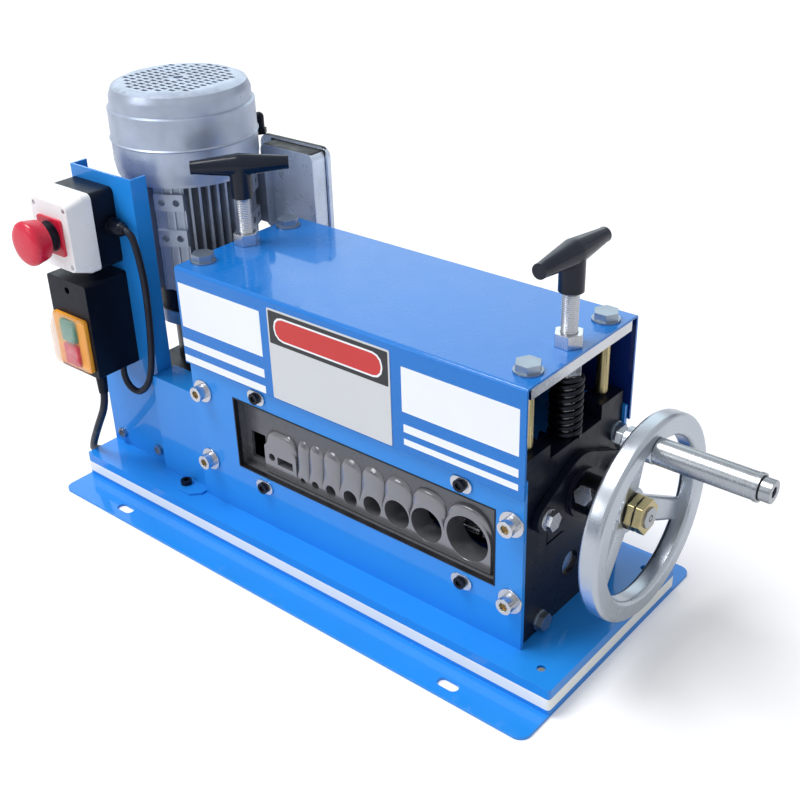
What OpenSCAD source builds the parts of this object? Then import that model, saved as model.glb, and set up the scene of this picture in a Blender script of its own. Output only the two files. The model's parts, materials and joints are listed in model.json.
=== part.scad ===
// Bench wire stripper: a motor and a hand wheel turn a pair of geared shafts in a bolted housing.
// Round cutters on the upper shaft slit the sheath while knurled rollers below pull the wire in.
// +X runs to the hand wheel, -Y is the side where the wire goes in, +Z is up, all in millimetres.
// The origin is the middle of the four bench slots, on the bench.

/* [Base] */
// Length of the base tray
base_l = 520; // [500:1:560]
// Depth of the base tray without its side flanges
base_d = 180; // [176:1:200]
// Height of the base tray
base_h = 25; // [22:0.5:27]
// Width of each side flange
flange_w = 31; // [26:0.5:40]
// Thickness of the folded sheet
sheet_t = 2.5; // [2:0.1:3]
// Distance between the bench slots along the base
slot_pitch = 370; // [300:1:420]
// Length of a bench slot from end to end
slot_l = 18; // [14:0.5:24]
// Width of a bench slot
slot_w = 9; // [6:0.5:11]

/* [Housing] */
// Thickness of an end frame along the shafts
frame_t = 20; // [17:0.5:22]
// Width of an end frame from front to back
frame_w = 127; // [124:0.5:130]
// Height of the frame legs above the bench
frame_top = 183; // [179:0.5:186]
// Height of the floor of that slot above the bench
slot_floor_z = 98; // [95:0.5:99]
// Thickness of the front and rear plates
side_plate_t = 3.5; // [2.5:0.1:4.5]
// Thickness of the cover sheet
cover_t = 2; // [1.5:0.1:2.5]
// Height of the cover's outer face above the bench
cover_top = 243; // [241:0.5:248]
// Height of the cover's lower edges above the bench
cover_skirt_z = 157; // [150:0.5:164]
// Diameter of the four standoff pins
standoff_d = 9.5; // [8:0.5:12]

/* [Window] */
// Height of the window
window_h = 66.5; // [62:0.5:70]
// Height of the window's lower edge above the bench
window_z = 72.5; // [70:0.5:74]

/* [Shafts] */
// Height of the cutter shaft above the bench
cutter_z = 130; // [129:0.1:131]
// Height of the feed shaft above the bench
feed_z = 63; // [62.5:0.1:63.5]
// Diameter of both shafts
shaft_d = 20; // [18:0.5:21]
// Gap between a shaft and the bore that it runs in, all round
run_gap = 0.05; // [0.03:0.01:0.09]
// Diameter of the feed rollers
roller_d = 28; // [26:0.5:29]
// Thickness of one cutter
cutter_t = 3; // [2:0.25:4]
// Teeth on each of the two equal gears
gear_teeth = 20; // [18:2:24]
// Thickness of the gears
gear_t = 8; // [6:0.5:9]
// How far the cutter shaft can be raised
lift_travel = 4; // [2:0.5:4]

/* [Hand wheel] */
// Outer diameter of the hand wheel
wheel_d = 160; // [140:1:180]
// Width of the rim along the shaft
wheel_rim_w = 16; // [12:0.5:20]
// Radius at which the crank handle stands
crank_r = 59; // [52:0.5:59]
// Diameter of the handle sleeve
sleeve_d = 19; // [15:0.5:22]
// Length of the handle sleeve
sleeve_l = 73; // [60:1:90]

/* [Adjusting screws] */
// Thread diameter of the adjusting screws
screw_d = 12; // [10:0.5:14]
// Width of the screw nuts across their flats
screw_nut_af = 19; // [17:0.5:22]
// Height of the T handles above the bench
handle_z = 310; // [306:0.5:320]
// Length of a T handle
handle_l = 79; // [70:1:79]
// Wire thickness of the springs
spring_wire_d = 4; // [3:0.25:4.5]
// Mean diameter of the springs
spring_d = 21; // [19.5:0.25:24]

/* [Motor] */
// Diameter of the fan cover
fan_cover_d = 126; // [122:1:126]
// Height of the fan cover's top above the housing cover
motor_rise = 117; // [111:1:123]
// Diameter over the cooling fins
motor_body_d = 112; // [106:1:116]
// Offset from the feed shaft to the upright worm shaft
worm_offset = 30; // [28:0.5:34]

/* [Switches] */
// Width of the post that carries the switches
post_w = 80; // [76:1:84]
// Height of the post's top above the bench
post_top = 298; // [294:1:304]
// Width of the stop box
stop_box_w = 54; // [52:0.5:60]
// Height of the stop box
stop_box_h = 68; // [62:0.5:72]
// Diameter of the mushroom head
mushroom_d = 38; // [34:0.5:42]
// Travel of the mushroom head
mushroom_travel = 5; // [3:0.5:5]
// Width of the switch box
switch_box_w = 53; // [50:0.5:56]
// Height of the switch box
switch_box_h = 88; // [86:0.5:92]
// Travel of the start and stop buttons
button_travel = 3; // [2:0.5:3]
// Diameter of the mains lead
lead_d = 7; // [6:0.5:8]
// Diameter of the lead between the two boxes
link_d = 6; // [5:0.5:7]

/* [Hidden] */
$fn = 48;

// One overrun serves every cut
over = 1;
// Gap between flat faces of bodies that move past each other
slide_gap = 0.4;
// Gap between a curved face and its neighbour on another body
clear = 0.3;

// Places along X are given for a tray of this length, and keep their share of any other
drawn_l = 520;
stretch = base_l / drawn_l;
frame_mid_x = 49.5 * stretch;
frame_pitch = 315 * stretch;
window_l = 265 * stretch;
right_x = frame_mid_x + frame_pitch / 2;
left_x = frame_mid_x - frame_pitch / 2;
frame_half = frame_w / 2;
slot_share = 0.5276;
guide_slot_w = frame_w * slot_share;
leg_w = frame_half - guide_slot_w / 2;
plate_y = frame_half + side_plate_t;

// Cover
cover_gap = 1;
cover_y = plate_y + cover_gap + cover_t;
cover_over_left = 1.5;
cover_over_right = 4;
cover_x0 = left_x - frame_t / 2 - cover_over_left;
cover_x1 = right_x + frame_t / 2 + cover_over_right;
cover_bend_r = 3;
top_bar_t = 9;
top_bar_w = 26;
top_bar_z = cover_top - cover_t - top_bar_t;
standoff_y = frame_half - leg_w / 2;
standoff_nose = 3;

// Window and guide
window_shift = 14 * stretch;
window_x = frame_mid_x + window_shift;
window_x0 = window_x - window_l / 2;
guide_in = 8;
guide_face_y = frame_half - guide_in;
guide_wall = 3;
guide_margin = 11;
guide_screw_in = 29.5;
guide_screw_pitch_x = window_l - 2 * guide_screw_in;
guide_screw_out = 9.5;
channel_drop = 53;
channel_floor_z = cutter_z - channel_drop;

// Channels: place along X, width, height, height of its floor above the shared floor, round or not
tall_slot = [-55 * stretch, 17 * stretch, 25.5, 2];
small_hole = [-36 * stretch, 7 * stretch, 7 * stretch, 9];
flat_slot = [-21 * stretch, 17.5 * stretch, 7.5, 7.5];
hole_d = [5.5, 7.5, 10.5, 14, 18, 24.5, 29.5, 38] * stretch;
hole_x = [-1.5, 12.5, 29.5, 50.5, 73.5, 98.5, 127.5, 165.5] * stretch;
channels = concat(
    [concat(tall_slot, [false]), concat(small_hole, [true]), concat(flat_slot, [false])],
    [for (i = [0:len(hole_d) - 1]) [hole_x[i], hole_d[i], hole_d[i], 0, true]]);
bite_share = 0.8;
function cutter_r(c) = cutter_z - channel_floor_z - c[3] - bite_share * c[2];

// Gears
gear_module = (cutter_z - feed_z) / gear_teeth;
gear_tip_share = 0.9;
gear_root_share = 1.2;
gear_backlash = 0.4;
gear_side = 3;
gear_x = right_x - frame_t / 2 - gear_side - gear_t;

// Shaft ends
shaft_left_out = 8;
shaft_left_x = left_x - frame_t / 2 - shaft_left_out;
wheel_hub_d = 34;
rim_band = 14;
spoke_w = 18;
crank_angle = 95;
spokes = 3;

// Bearing blocks
block_floor_gap = 2;
block_top_z = 172;
block_z0 = slot_floor_z + block_floor_gap;
flange_t = 6;
flange_share = 0.693;
flange_pitch = frame_w * flange_share;
flange_lug = 11;
flange_half_l = flange_pitch / 2 + flange_lug;
collar_d = 30;

// Springs
spring_turns = 8;
spring_sides = 6;
spring_rings = 8;

// Screws
screw_nut_t = 10;

// Motor and gearbox
motor_in = 52;
motor_x = -base_l / 2 + motor_in;
motor_top = cover_top + motor_rise;
motor_y = worm_offset;
flange_z = 147;
flange_ring_t = 13;
adaptor_t = 27;
body_z0 = flange_z + flange_ring_t + adaptor_t;
fan_cover_h = 75;
fan_cover_t = 1.5;
gearbox_w = 64;
gearbox_half = 35;
gearbox_top = 101;
motor_shaft_d = 14;
fins = 44;
fin_t = 2;
fin_h = 8;

// Post and boxes
post_y = -55.5;
post_t = 2;
post_flange = 16;
stop_box_in = 28;
stop_box_x = -base_l / 2 + stop_box_in;
stop_box_z = 254;
stop_base_t = 23;
stop_cap_t = 23.5;
switch_box_in = 29.5;
switch_box_x = -base_l / 2 + switch_box_in;
switch_box_z = 169;
switch_box_t = 44;

// Bolt sizes
m8_d = 8;
m8_af = 13;
m8_head_t = 5.5;
m6_d = 6;
m6_head_d = 10;
m6_head_t = 6;
m5_d = 5;
bolt_gap = 0.2;
washer_t = 1.6;
washer_share = 1.25;
socket_share = 0.5;
plate_bolt_z = [66, 133];
plate_bolt_shift = 3;
grip_share = 0.3;
plate_bolt_grip = leg_w * grip_share;

// A rectangle with round corners, centred on the origin
module round_rect(w, h, r) {
    square([w, h - 2 * r], center = true);
    square([w - 2 * r, h], center = true);
    for (i = [-1, 1], j = [-1, 1])
        translate([i * (w / 2 - r), j * (h / 2 - r)]) circle(r);
}

// A box from one corner to the other
module box(a, b) {
    translate(a) cube(b - a);
}

// Turns a shape drawn upright so that its height runs along +X
module along_x() {
    rotate([90, 0, 90]) children();
}

// Turns a shape drawn upright so that its height runs towards the front
module to_front() {
    rotate([90, 0, 0]) children();
}

// A hexagon bolt: head from 0 up on its washer, shank down
module hex_bolt(d, af, head_t, shank) {
    cylinder(d = af * washer_share, h = washer_t);
    translate([0, 0, washer_t]) cylinder(d = af / cos(30), h = head_t, $fn = 6);
    translate([0, 0, -shank]) cylinder(d = d, h = shank + over);
}

// A socket head bolt on a washer
module socket_bolt(d, head_d, head_t, shank, washer) {
    difference() {
        union() {
            if (washer) cylinder(d = head_d * 2 * socket_share * washer_share * washer_share, h = washer_t);
            translate([0, 0, washer ? washer_t : 0]) cylinder(d = head_d, h = head_t);
            translate([0, 0, -shank]) cylinder(d = d, h = shank + over);
        }
        translate([0, 0, head_t * socket_share + (washer ? washer_t : 0)])
            cylinder(d = head_d * socket_share / cos(30), h = head_t, $fn = 6);
    }
}

// Bench slots
slot_out = 18.5;
slot_y = base_d / 2 + slot_out;
module slot_shape() {
    for (i = [-1, 1]) translate([i * (slot_l - slot_w) / 2, 0]) circle(d = slot_w);
    square([slot_l - slot_w, slot_w], center = true);
}
flange_corner_r = 9;
end_hole_d = 6.5;
end_hole_in_x = 18;
end_hole_in_y = 16.5;
end_hole_x = base_l / 2 - end_hole_in_x;
end_hole_y = base_d / 2 - end_hole_in_y;

module base_tray() {
    color("dodgerblue") difference() {
        union() {
            difference() {
                linear_extrude(base_h) round_rect(base_l, base_d, sheet_t);
                translate([0, 0, -sheet_t]) linear_extrude(base_h)
                    square([base_l - 2 * sheet_t, base_d - 2 * sheet_t], center = true);
            }
            linear_extrude(sheet_t) difference() {
                round_rect(base_l, base_d + 2 * flange_w, flange_corner_r);
                square([base_l + over, base_d - sheet_t], center = true);
            }
        }
        for (i = [-1, 1], j = [-1, 1]) translate([i * slot_pitch / 2, j * slot_y, -over])
            linear_extrude(sheet_t + 2 * over) slot_shape();
        for (j = [-1, 1]) translate([end_hole_x, j * end_hole_y, 0])
            cylinder(d = end_hole_d, h = base_h + over);
    }
}

// Runs its children at each bolt of a side plate, heads outwards, on side -1 or 1
module at_plate_bolts(side) {
    for (x = [left_x + plate_bolt_shift, right_x + plate_bolt_shift], z = plate_bolt_z)
        translate([x, side * plate_y, z]) rotate([-side * 90, 0, 0]) children();
}

// Bolts in the outer face of the right frame, two low down and one high in the rear leg
foot_bolt_in = 23.5;
foot_bolt_y = frame_half - foot_bolt_in;
foot_bolt_z = 35;
foot_bolt_grip = 12;
leg_bolt_in = 8.5;
leg_bolt_z = 152;
module at_foot_bolts() {
    leg_y = frame_half - leg_bolt_in;
    for (p = [[-foot_bolt_y, foot_bolt_z], [foot_bolt_y, foot_bolt_z], [leg_y, leg_bolt_z]])
        translate([right_x + frame_t / 2, p[0], p[1]]) along_x() children();
}

bush_d = 26;
flange_slot_w = 9;
module end_frame(x) {
    difference() {
        box([x - frame_t / 2, -frame_half, base_h], [x + frame_t / 2, frame_half, frame_top]);
        box([x - frame_t, -guide_slot_w / 2, slot_floor_z],
            [x + frame_t, guide_slot_w / 2, frame_top + over]);
        translate([x - frame_t, 0, feed_z]) along_x() cylinder(d = bush_d, h = 2 * frame_t);
        for (side = [-1, 1]) at_plate_bolts(side)
            translate([0, 0, -side_plate_t - plate_bolt_grip])
                cylinder(d = m8_d + 2 * bolt_gap, h = plate_bolt_grip + over);
        for (j = [-1, 1]) translate([x, j * standoff_y, frame_top - standoff_grip])
            cylinder(d = m6_d + 2 * bolt_gap, h = standoff_grip + over);
    }
}
standoff_grip = 8;
module flange_slots() {
    for (j = [-1, 1]) translate([right_x, j * flange_pitch / 2, cutter_z]) along_x()
        linear_extrude(frame_t / 2 + over) {
            for (e = [-1, 1]) translate([0, e == 1 ? lift_travel : 0]) circle(d = flange_slot_w);
            translate([-flange_slot_w / 2, 0]) square([flange_slot_w, lift_travel]);
        }
}
module end_frame_left() {
    color("darkslategray") end_frame(left_x);
}
module end_frame_right() {
    color("darkslategray") difference() {
        end_frame(right_x);
        flange_slots();
        at_foot_bolts() translate([0, 0, -foot_bolt_grip])
            cylinder(d = m8_d + 2 * bolt_gap, h = foot_bolt_grip + over);
    }
}

plate_top = 170;
plate_over = 2.5;
module side_plate(side) {
    y = side == 1 ? frame_half : -plate_y;
    difference() {
        box([left_x - frame_t / 2, y, base_h],
            [right_x + frame_t / 2 + plate_over, y + side_plate_t, plate_top]);
        at_plate_bolts(side) translate([0, 0, -side_plate_t - over])
            cylinder(d = m8_d + 2 * bolt_gap, h = side_plate_t + 2 * over);
    }
}
guide_screw_z = [window_z - guide_screw_out, window_z + window_h + guide_screw_out];
module at_guide_screws() {
    for (i = [-1, 1], z = guide_screw_z)
        translate([window_x + i * guide_screw_pitch_x / 2, -plate_y, z]) rotate([90, 0, 0]) children();
}
guide_flange_t = 3;
module front_plate() {
    color("dodgerblue") difference() {
        side_plate(-1);
        box([window_x0, -plate_y - over, window_z],
            [window_x0 + window_l, -frame_half + over, window_z + window_h]);
        at_guide_screws() translate([0, 0, -side_plate_t - over])
            cylinder(d = m6_d + 2 * bolt_gap, h = side_plate_t + 2 * over);
    }
}
module rear_plate() {
    color("dodgerblue") side_plate(1);
}

module at_top(list_y) {
    for (x = [left_x, right_x], y = list_y) translate([x, y, cover_top]) children();
}
module top_bars() {
    color("silver") difference() {
        for (x = [left_x, right_x])
            box([x - top_bar_w / 2, -frame_half, top_bar_z],
                [x + top_bar_w / 2, frame_half, cover_top - cover_t]);
        at_top([-standoff_y, standoff_y]) translate([0, 0, -cover_t - top_bar_t - over])
            cylinder(d = m8_d + 2 * bolt_gap, h = top_bar_t + 2 * over);
        at_top([0]) translate([0, 0, -cover_t - top_bar_t - over])
            cylinder(d = screw_d + 2 * clear, h = top_bar_t + 2 * over);
    }
}
cover_bolt_grip = 8;
module standoff_pins() {
    color("goldenrod") for (x = [left_x, right_x], j = [-1, 1]) translate([x, j * standoff_y, 0])
        difference() {
        union() {
            translate([0, 0, frame_top])
                cylinder(d1 = standoff_d - standoff_nose, d2 = standoff_d, h = standoff_nose);
            translate([0, 0, frame_top + standoff_nose])
                cylinder(d = standoff_d, h = top_bar_z - frame_top - standoff_nose);
            translate([0, 0, frame_top - standoff_grip]) cylinder(d = m6_d, h = standoff_grip + over);
        }
        translate([0, 0, top_bar_z - cover_bolt_grip])
            cylinder(d = m8_d + bolt_gap, h = cover_bolt_grip + over);
    }
}
module cover_outline(inset, drop) {
    w = 2 * cover_y - 2 * inset;
    h = cover_top - cover_skirt_z - inset;
    r = cover_bend_r - inset;
    translate([-w / 2, -drop]) square([w, h - r + drop]);
    translate([-w / 2 + r, -drop]) square([w - 2 * r, h + drop]);
    for (i = [-1, 1]) translate([i * (w / 2 - r), h - r]) circle(r);
}
module top_cover() {
    color("deepskyblue") difference() {
        translate([cover_x0, 0, cover_skirt_z]) along_x() linear_extrude(cover_x1 - cover_x0) difference() {
            cover_outline(0, 0);
            cover_outline(cover_t, over);
        }
        at_top([-standoff_y, standoff_y]) translate([0, 0, -cover_t - over])
            cylinder(d = m8_d + 2 * bolt_gap, h = cover_t + 2 * over);
        at_top([0]) translate([0, 0, -cover_t - over])
            cylinder(d = screw_d + 2 * clear, h = cover_t + 2 * over);
    }
}
module cover_bolts() {
    color("silver") {
        at_top([-standoff_y, standoff_y])
            hex_bolt(m8_d, m8_af, m8_head_t, cover_t + top_bar_t + cover_bolt_grip - over);
        at_foot_bolts() hex_bolt(m8_d, m8_af, m8_head_t, foot_bolt_grip - over);
    }
}
module plate_bolts() {
    color("silver") for (side = [-1, 1]) at_plate_bolts(side)
        socket_bolt(m8_d, m8_af, m8_d, side_plate_t + plate_bolt_grip - over, true);
}

// Wire guide: a moulded tray behind the window, with a wall that the channels pass through
guide_x0 = window_x0 - guide_wall;
guide_x1 = right_x - frame_t / 2 - clear;
guide_cut_x1 = guide_x1 - guide_wall;
rib_out = 4;
rib_z0 = 113;
rib_z1 = 128;
function rib_top(x) = rib_z0 + (rib_z1 - rib_z0) * (x - window_x0) / window_l;
module channel_shape(c) {
    if (c[4]) translate([0, c[2] / 2]) circle(d = c[2]);
    else translate([-c[1] / 2, 0]) square([c[1], c[2]]);
}
module wire_guide() {
    floor_z = window_z - guide_wall;
    top_z = window_z + window_h + guide_wall;
    color("dimgray") difference() {
        union() {
            difference() {
                union() {
                    box([guide_x0, -frame_half, floor_z], [guide_x1, -guide_face_y + guide_wall, top_z]);
                    box([window_x0 - guide_margin, -frame_half, guide_screw_z[0] - guide_margin],
                        [guide_x1, -frame_half + guide_flange_t, guide_screw_z[1] + guide_margin]);
                }
                box([window_x0, -frame_half - over, window_z],
                    [guide_cut_x1, -guide_face_y, window_z + window_h]);
            }
            for (c = channels) if (c[4] || c[2] < c[1]) {
                r = max(c[1] / 2, rib_out);
                z0 = channel_floor_z + c[3] + c[2] / 2;
                intersection() {
                    translate([c[0], -guide_face_y + r - rib_out, z0])
                        cylinder(r = r, h = max(rib_top(c[0]), z0 + c[2] * bite_share) - z0);
                    box([c[0] - r, -frame_half, z0], [c[0] + r, -guide_face_y + guide_wall, top_z]);
                }
            }
        }
        for (c = channels) translate([c[0], -guide_face_y + guide_wall + over, channel_floor_z + c[3]])
            to_front()
            linear_extrude(guide_wall + rib_out + 2 * over) channel_shape(c);
        at_guide_screws() translate([0, 0, -side_plate_t - guide_flange_t - over])
            cylinder(d = m6_d + 2 * bolt_gap, h = guide_flange_t + 2 * over);
    }
}
washer_l = 19;
washer_w = 12;
module guide_washers() {
    color("whitesmoke") at_guide_screws() linear_extrude(washer_t) difference() {
        union() {
            for (i = [-1, 1]) translate([i * (washer_l - washer_w) / 2, 0]) circle(d = washer_w);
            square([washer_l - washer_w, washer_w], center = true);
        }
        circle(d = m6_d + 2 * bolt_gap);
    }
}
module guide_screws() {
    color("black") at_guide_screws() translate([0, 0, washer_t])
        socket_bolt(m6_d, m6_head_d, m6_head_t / 2, washer_t + side_plate_t + guide_flange_t, false);
}

// Post for the switches: a channel with its open side to the rear, and its screws
post_screw_z = 36;
post_inset = 14;
post_screw_x = [post_inset, post_w - post_inset];
post_head_t = 3;
module switch_post() {
    color("dodgerblue") difference() {
        box([-base_l / 2, post_y, base_h], [-base_l / 2 + post_w, post_y + post_flange, post_top]);
        box([-base_l / 2 + post_t, post_y + post_t, base_h - over],
            [-base_l / 2 + post_w - post_t, post_y + post_flange + over, post_top + over]);
        for (x = post_screw_x) translate([-base_l / 2 + x, post_y + post_t + over, post_screw_z]) to_front()
            cylinder(d = m5_d + 2 * bolt_gap, h = post_t + 2 * over);
    }
}

// Side bracket: closes the space between post and housing, bent to a foot and to a rear ledge
bracket_x0 = -base_l / 2 + post_w + slide_gap;
bracket_x1 = left_x - frame_t / 2 - slide_gap;
bracket_y = -62;
bracket_top = 121;
bracket_ledge = 26;
foot_share = 0.5;
foot_l = (bracket_x1 - bracket_x0) * foot_share;
foot_x1 = left_x - frame_t / 2 - over;
foot_x0 = foot_x1 - foot_l;
foot_y = -80;
foot_cut = 8;
foot_screw_in = 8;
foot_screw_x = foot_x0 + foot_screw_in;
foot_screw_y = -70;
module side_bracket() {
    color("dodgerblue") {
        box([bracket_x0, bracket_y, base_h], [bracket_x1, bracket_y + post_t, bracket_top]);
        box([bracket_x0, bracket_y, bracket_top - post_t],
            [bracket_x1, bracket_y + bracket_ledge, bracket_top]);
        translate([0, 0, base_h]) linear_extrude(post_t) difference() {
            polygon([[foot_x0, bracket_y + over / 2], [foot_x0, foot_y + foot_cut],
                [foot_x0 + foot_cut, foot_y],
                [foot_x1 - foot_cut, foot_y], [foot_x1, foot_y + foot_cut],
                    [foot_x1, bracket_y + over / 2]]);
            translate([foot_screw_x, foot_screw_y]) circle(d = m5_d + 2 * bolt_gap);
        }
    }
}
module small_screws() {
    color("black") {
        for (x = post_screw_x) translate([-base_l / 2 + x, post_y, post_screw_z]) to_front()
            socket_bolt(m5_d, m6_head_d, post_head_t, post_t + over, false);
        translate([foot_screw_x, foot_screw_y, base_h + post_t])
            socket_bolt(m5_d, m6_head_d, post_head_t + over, post_t - over, false);
    }
}

bush_bore_d = shaft_d + 2 * run_gap;
module feed_bushes() {
    color("peru") for (x = [left_x, right_x]) translate([x - frame_t / 2, 0, feed_z]) along_x()
        difference() {
        cylinder(d = bush_d, h = frame_t);
        translate([0, 0, -over]) cylinder(d = bush_bore_d, h = frame_t + 2 * over);
    }
}

// Nuts of the adjusting screws: one on the cover, one under the bar
thread_gap = 0.1;
module screw_nuts() {
    color("silver") for (x = [left_x, right_x], z = [cover_top, top_bar_z - screw_nut_t])
        translate([x, 0, z])
        difference() {
            cylinder(d = screw_nut_af / cos(30), h = screw_nut_t, $fn = 6);
            translate([0, 0, -over]) cylinder(d = screw_d + 2 * thread_gap, h = screw_nut_t + 2 * over);
        }
}

// A tube along points, drawn as one skin of flat rings; each ring faces along the path
function unit(v) = v / norm(v);
function tangent(p, i) = unit(p[min(i + 1, len(p) - 1)] - p[max(i - 1, 0)]);
function carried(n, t) = unit(n - (n * t) * t);
function frames(p, i, n) = i == len(p) ? [] : let (m = carried(n, tangent(p, i)))
    concat([m], frames(p, i + 1, m));
module tube(p, d, sides, start) {
    n = frames(p, 0, start);
    rings = [for (i = [0:len(p) - 1]) let (t = tangent(p, i), m = n[i], b = cross(t, m))
        for (k = [0:sides - 1]) p[i] + d / 2 * (m * cos(360 * k / sides) + b * sin(360 * k / sides))];
    last = (len(p) - 1) * sides;
    faces = concat(
        [for (k = [1:sides - 2]) [0, k, k + 1]],
        [for (k = [1:sides - 2]) [last, last + k + 1, last + k]],
        [for (i = [0:len(p) - 2], k = [0:sides - 1])
            let (a = i * sides + k, b = i * sides + (k + 1) % sides)
            each [[a, a + sides, b], [b, a + sides, b + sides]]]);
    polyhedron(points = rings, faces = faces);
}

// A curve through hand-chosen points, as even short steps of a rounded spline
function spline(a, b, c, d, t) = 0.5 * ((2 * b) + (c - a) * t + (2 * a - 5 * b + 4 * c - d) * t * t
    + (3 * b - a - 3 * c + d) * t * t * t);
function smooth_path(p, steps) = let (n = len(p)) concat(
    [for (i = [0:n - 2], s = [0:steps - 1])
        spline(p[max(i - 1, 0)], p[i], p[i + 1], p[min(i + 2, n - 1)], s / steps)],
    [p[n - 1]]);
function path_length(p) = len(p) < 2 ? 0 :
    [for (i = [1:len(p) - 1]) norm(p[i] - p[i - 1])] * [for (i = [1:len(p) - 1]) 1];

// Springs between the lower nuts and the bearing blocks
spring_z0 = block_top_z;
spring_z1 = top_bar_z - screw_nut_t;
function spring_path() = let (
    r = spring_d / 2, h0 = spring_z0 + spring_wire_d * 1.5, h1 = spring_z1 - spring_wire_d * 1.5,
    n = spring_turns * spring_rings)
    concat([[r, 0, spring_z0]],
        [for (i = [0:n]) [r * cos(360 * i / spring_rings), r * sin(360 * i / spring_rings),
            h0 + (h1 - h0) * i / n]],
        [[r, 0, spring_z1]]);
spring_gap = (spring_z1 - spring_z0 - 3 * spring_wire_d) / spring_turns - spring_wire_d;
echo(spring_gap = spring_gap);
module springs() {
    color("black") for (x = [left_x, right_x])
        translate([x, 0, 0]) tube(spring_path(), spring_wire_d, spring_sides, [1, 0, 0]);
}

// Gearbox with its upright worm housing
gearbox_x0 = motor_x - gearbox_w / 2;
gearbox_r = 12;
worm_d = 58;
gearbox_cap_d = 52;
gearbox_cap_t = 3;
gearbox_foot_h = 6;
module gearbox() {
    color("black") difference() {
        union() {
            translate([gearbox_x0, 0, 0]) along_x() linear_extrude(gearbox_w)
                translate([(worm_offset + gearbox_half) / 2 - gearbox_half + gearbox_r,
                    (base_h + gearbox_top) / 2])
                round_rect(worm_offset + 2 * gearbox_half - gearbox_r, gearbox_top - base_h, gearbox_r);
            translate([motor_x, motor_y, base_h + gearbox_foot_h])
                cylinder(d = worm_d, h = flange_z - base_h - gearbox_foot_h);
            translate([gearbox_x0 - gearbox_cap_t, 0, feed_z]) along_x()
                cylinder(d = gearbox_cap_d, h = gearbox_w + 2 * gearbox_cap_t);
        }
        translate([motor_x, 0, feed_z]) along_x() cylinder(d = shaft_d + 2 * clear, h = gearbox_w);
    }
}
motor_flange_d = 90;
module motor_flange() {
    color("silver") translate([motor_x, motor_y, flange_z]) {
        cylinder(d = motor_flange_d, h = flange_ring_t);
    }
}
adaptor_d = 84;
module motor_adaptor() {
    color("black") translate([motor_x, motor_y, flange_z + flange_ring_t])
        cylinder(d = adaptor_d, h = adaptor_t);
}

// Motor body with upright fins and four cast pads
pad_w = 26;
pad_h = 15;
pad_z = [42, 74];
pad_angles = [-60, 30];
pad_hole_d = 6;
fan_z0 = motor_top - fan_cover_h;
cap_skirt = 1.5;
shield_r = fan_cover_d / 2 - cap_skirt - fan_cover_t;
shield_t = 3;
// Seat of the terminal box: from inside the body to the box, from corner to corner
seat_in = 8;
seat_l = 38;
seat_t = 9.5;
seat_a = [motor_x + seat_in, 77, 225];
seat_b = [seat_a[0] + seat_l, seat_a[1] + seat_t, 283];
module motor_body() {
    core = motor_body_d / 2 - fin_h;
    color("silver") translate([motor_x, motor_y, body_z0]) difference() {
        union() {
            linear_extrude(fan_z0 - body_z0) {
                circle(core);
                for (i = [0:fins - 1]) rotate(360 * i / fins) translate([0, -fin_t / 2])
                    square([motor_body_d / 2, fin_t]);
            }
            for (a = pad_angles) rotate(a) {
                translate([0, -pad_w / 2, 0]) cube([core + fin_h - fin_t, pad_w, fan_z0 - body_z0]);
                for (z = pad_z) translate([core, -pad_w / 2, z]) cube([fin_h + fin_t, pad_w, pad_h]);
            }
            translate([0, 0, fan_z0 - body_z0 - shield_t]) cylinder(r = shield_r, h = shield_t + fin_h);
            translate([-motor_x, -motor_y, -body_z0]) box(seat_a, seat_b);
        }
        for (a = pad_angles, z = pad_z, j = [-1, 1]) rotate(a)
            translate([core + fin_h / 2, j * pad_w / 4, z + pad_h / 2]) along_x()
                cylinder(d = pad_hole_d, h = fin_h + over);
        translate([0, 0, -over])
            cylinder(d = motor_shaft_d + 2 * clear, h = fan_z0 - body_z0 + fin_h + 2 * over);
    }
}

// Fan cover: a stepped steel cap with a grille of small slots
cover_lip_r = fan_cover_d / 2;
grille_share = 0.3968;
grille_r = fan_cover_d * grille_share;
grille_slot = [0.13, 0.072] * grille_r;
grille_step = [0.192, 0.128] * grille_r;
grille_mid_d = 9;
cap_step_z = 20;
cap_ridge_z = 46;
cap_shoulder = 10;
cap_step = 2.5;
cap_ridge = 1.2;
cap_soft = 3;
module cap_profile(inset) {
    r = cover_lip_r - inset;
    t = motor_top - inset;
    polygon([[0, fan_z0], [r - cap_skirt, fan_z0], [r, fan_z0 + cap_shoulder],
        [r, motor_top - cap_ridge_z - cap_ridge],
        [r + cap_ridge, motor_top - cap_ridge_z], [r, motor_top - cap_ridge_z + cap_ridge],
            [r, motor_top - cap_step_z],
        [r - cap_step, motor_top - cap_step_z + cap_ridge], [r - cap_step, t - cap_shoulder],
        [r - cap_step - cap_soft, t - cap_soft], [r - cap_step - cap_shoulder, t],
            [0, t]]);
}
module fan_cover() {
    rows = floor(grille_r / grille_step[1]);
    color("silver") translate([motor_x, motor_y, 0]) difference() {
        rotate_extrude($fn = 96) difference() {
            cap_profile(0);
            translate([0, -fan_cover_t]) cap_profile(fan_cover_t);
            translate([-over, fan_z0 - over])
                square([cover_lip_r - cap_skirt - fan_cover_t + over, cap_shoulder]);
        }
        for (j = [-rows:rows]) let (
            y = j * grille_step[1],
            n = floor((sqrt(max(grille_r * grille_r - y * y, 0)) - grille_slot[0] / 2) / grille_step[0]))
            for (i = [-n:n]) if (norm([i * grille_step[0], y]) > grille_mid_d)
                translate([i * grille_step[0], y, motor_top])
                    cube([grille_slot[0], grille_slot[1], 4 * fan_cover_t], center = true);
        translate([0, 0, motor_top - over - fan_cover_t])
            cylinder(d = grille_mid_d, h = 2 * over + fan_cover_t);
    }
}

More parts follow.
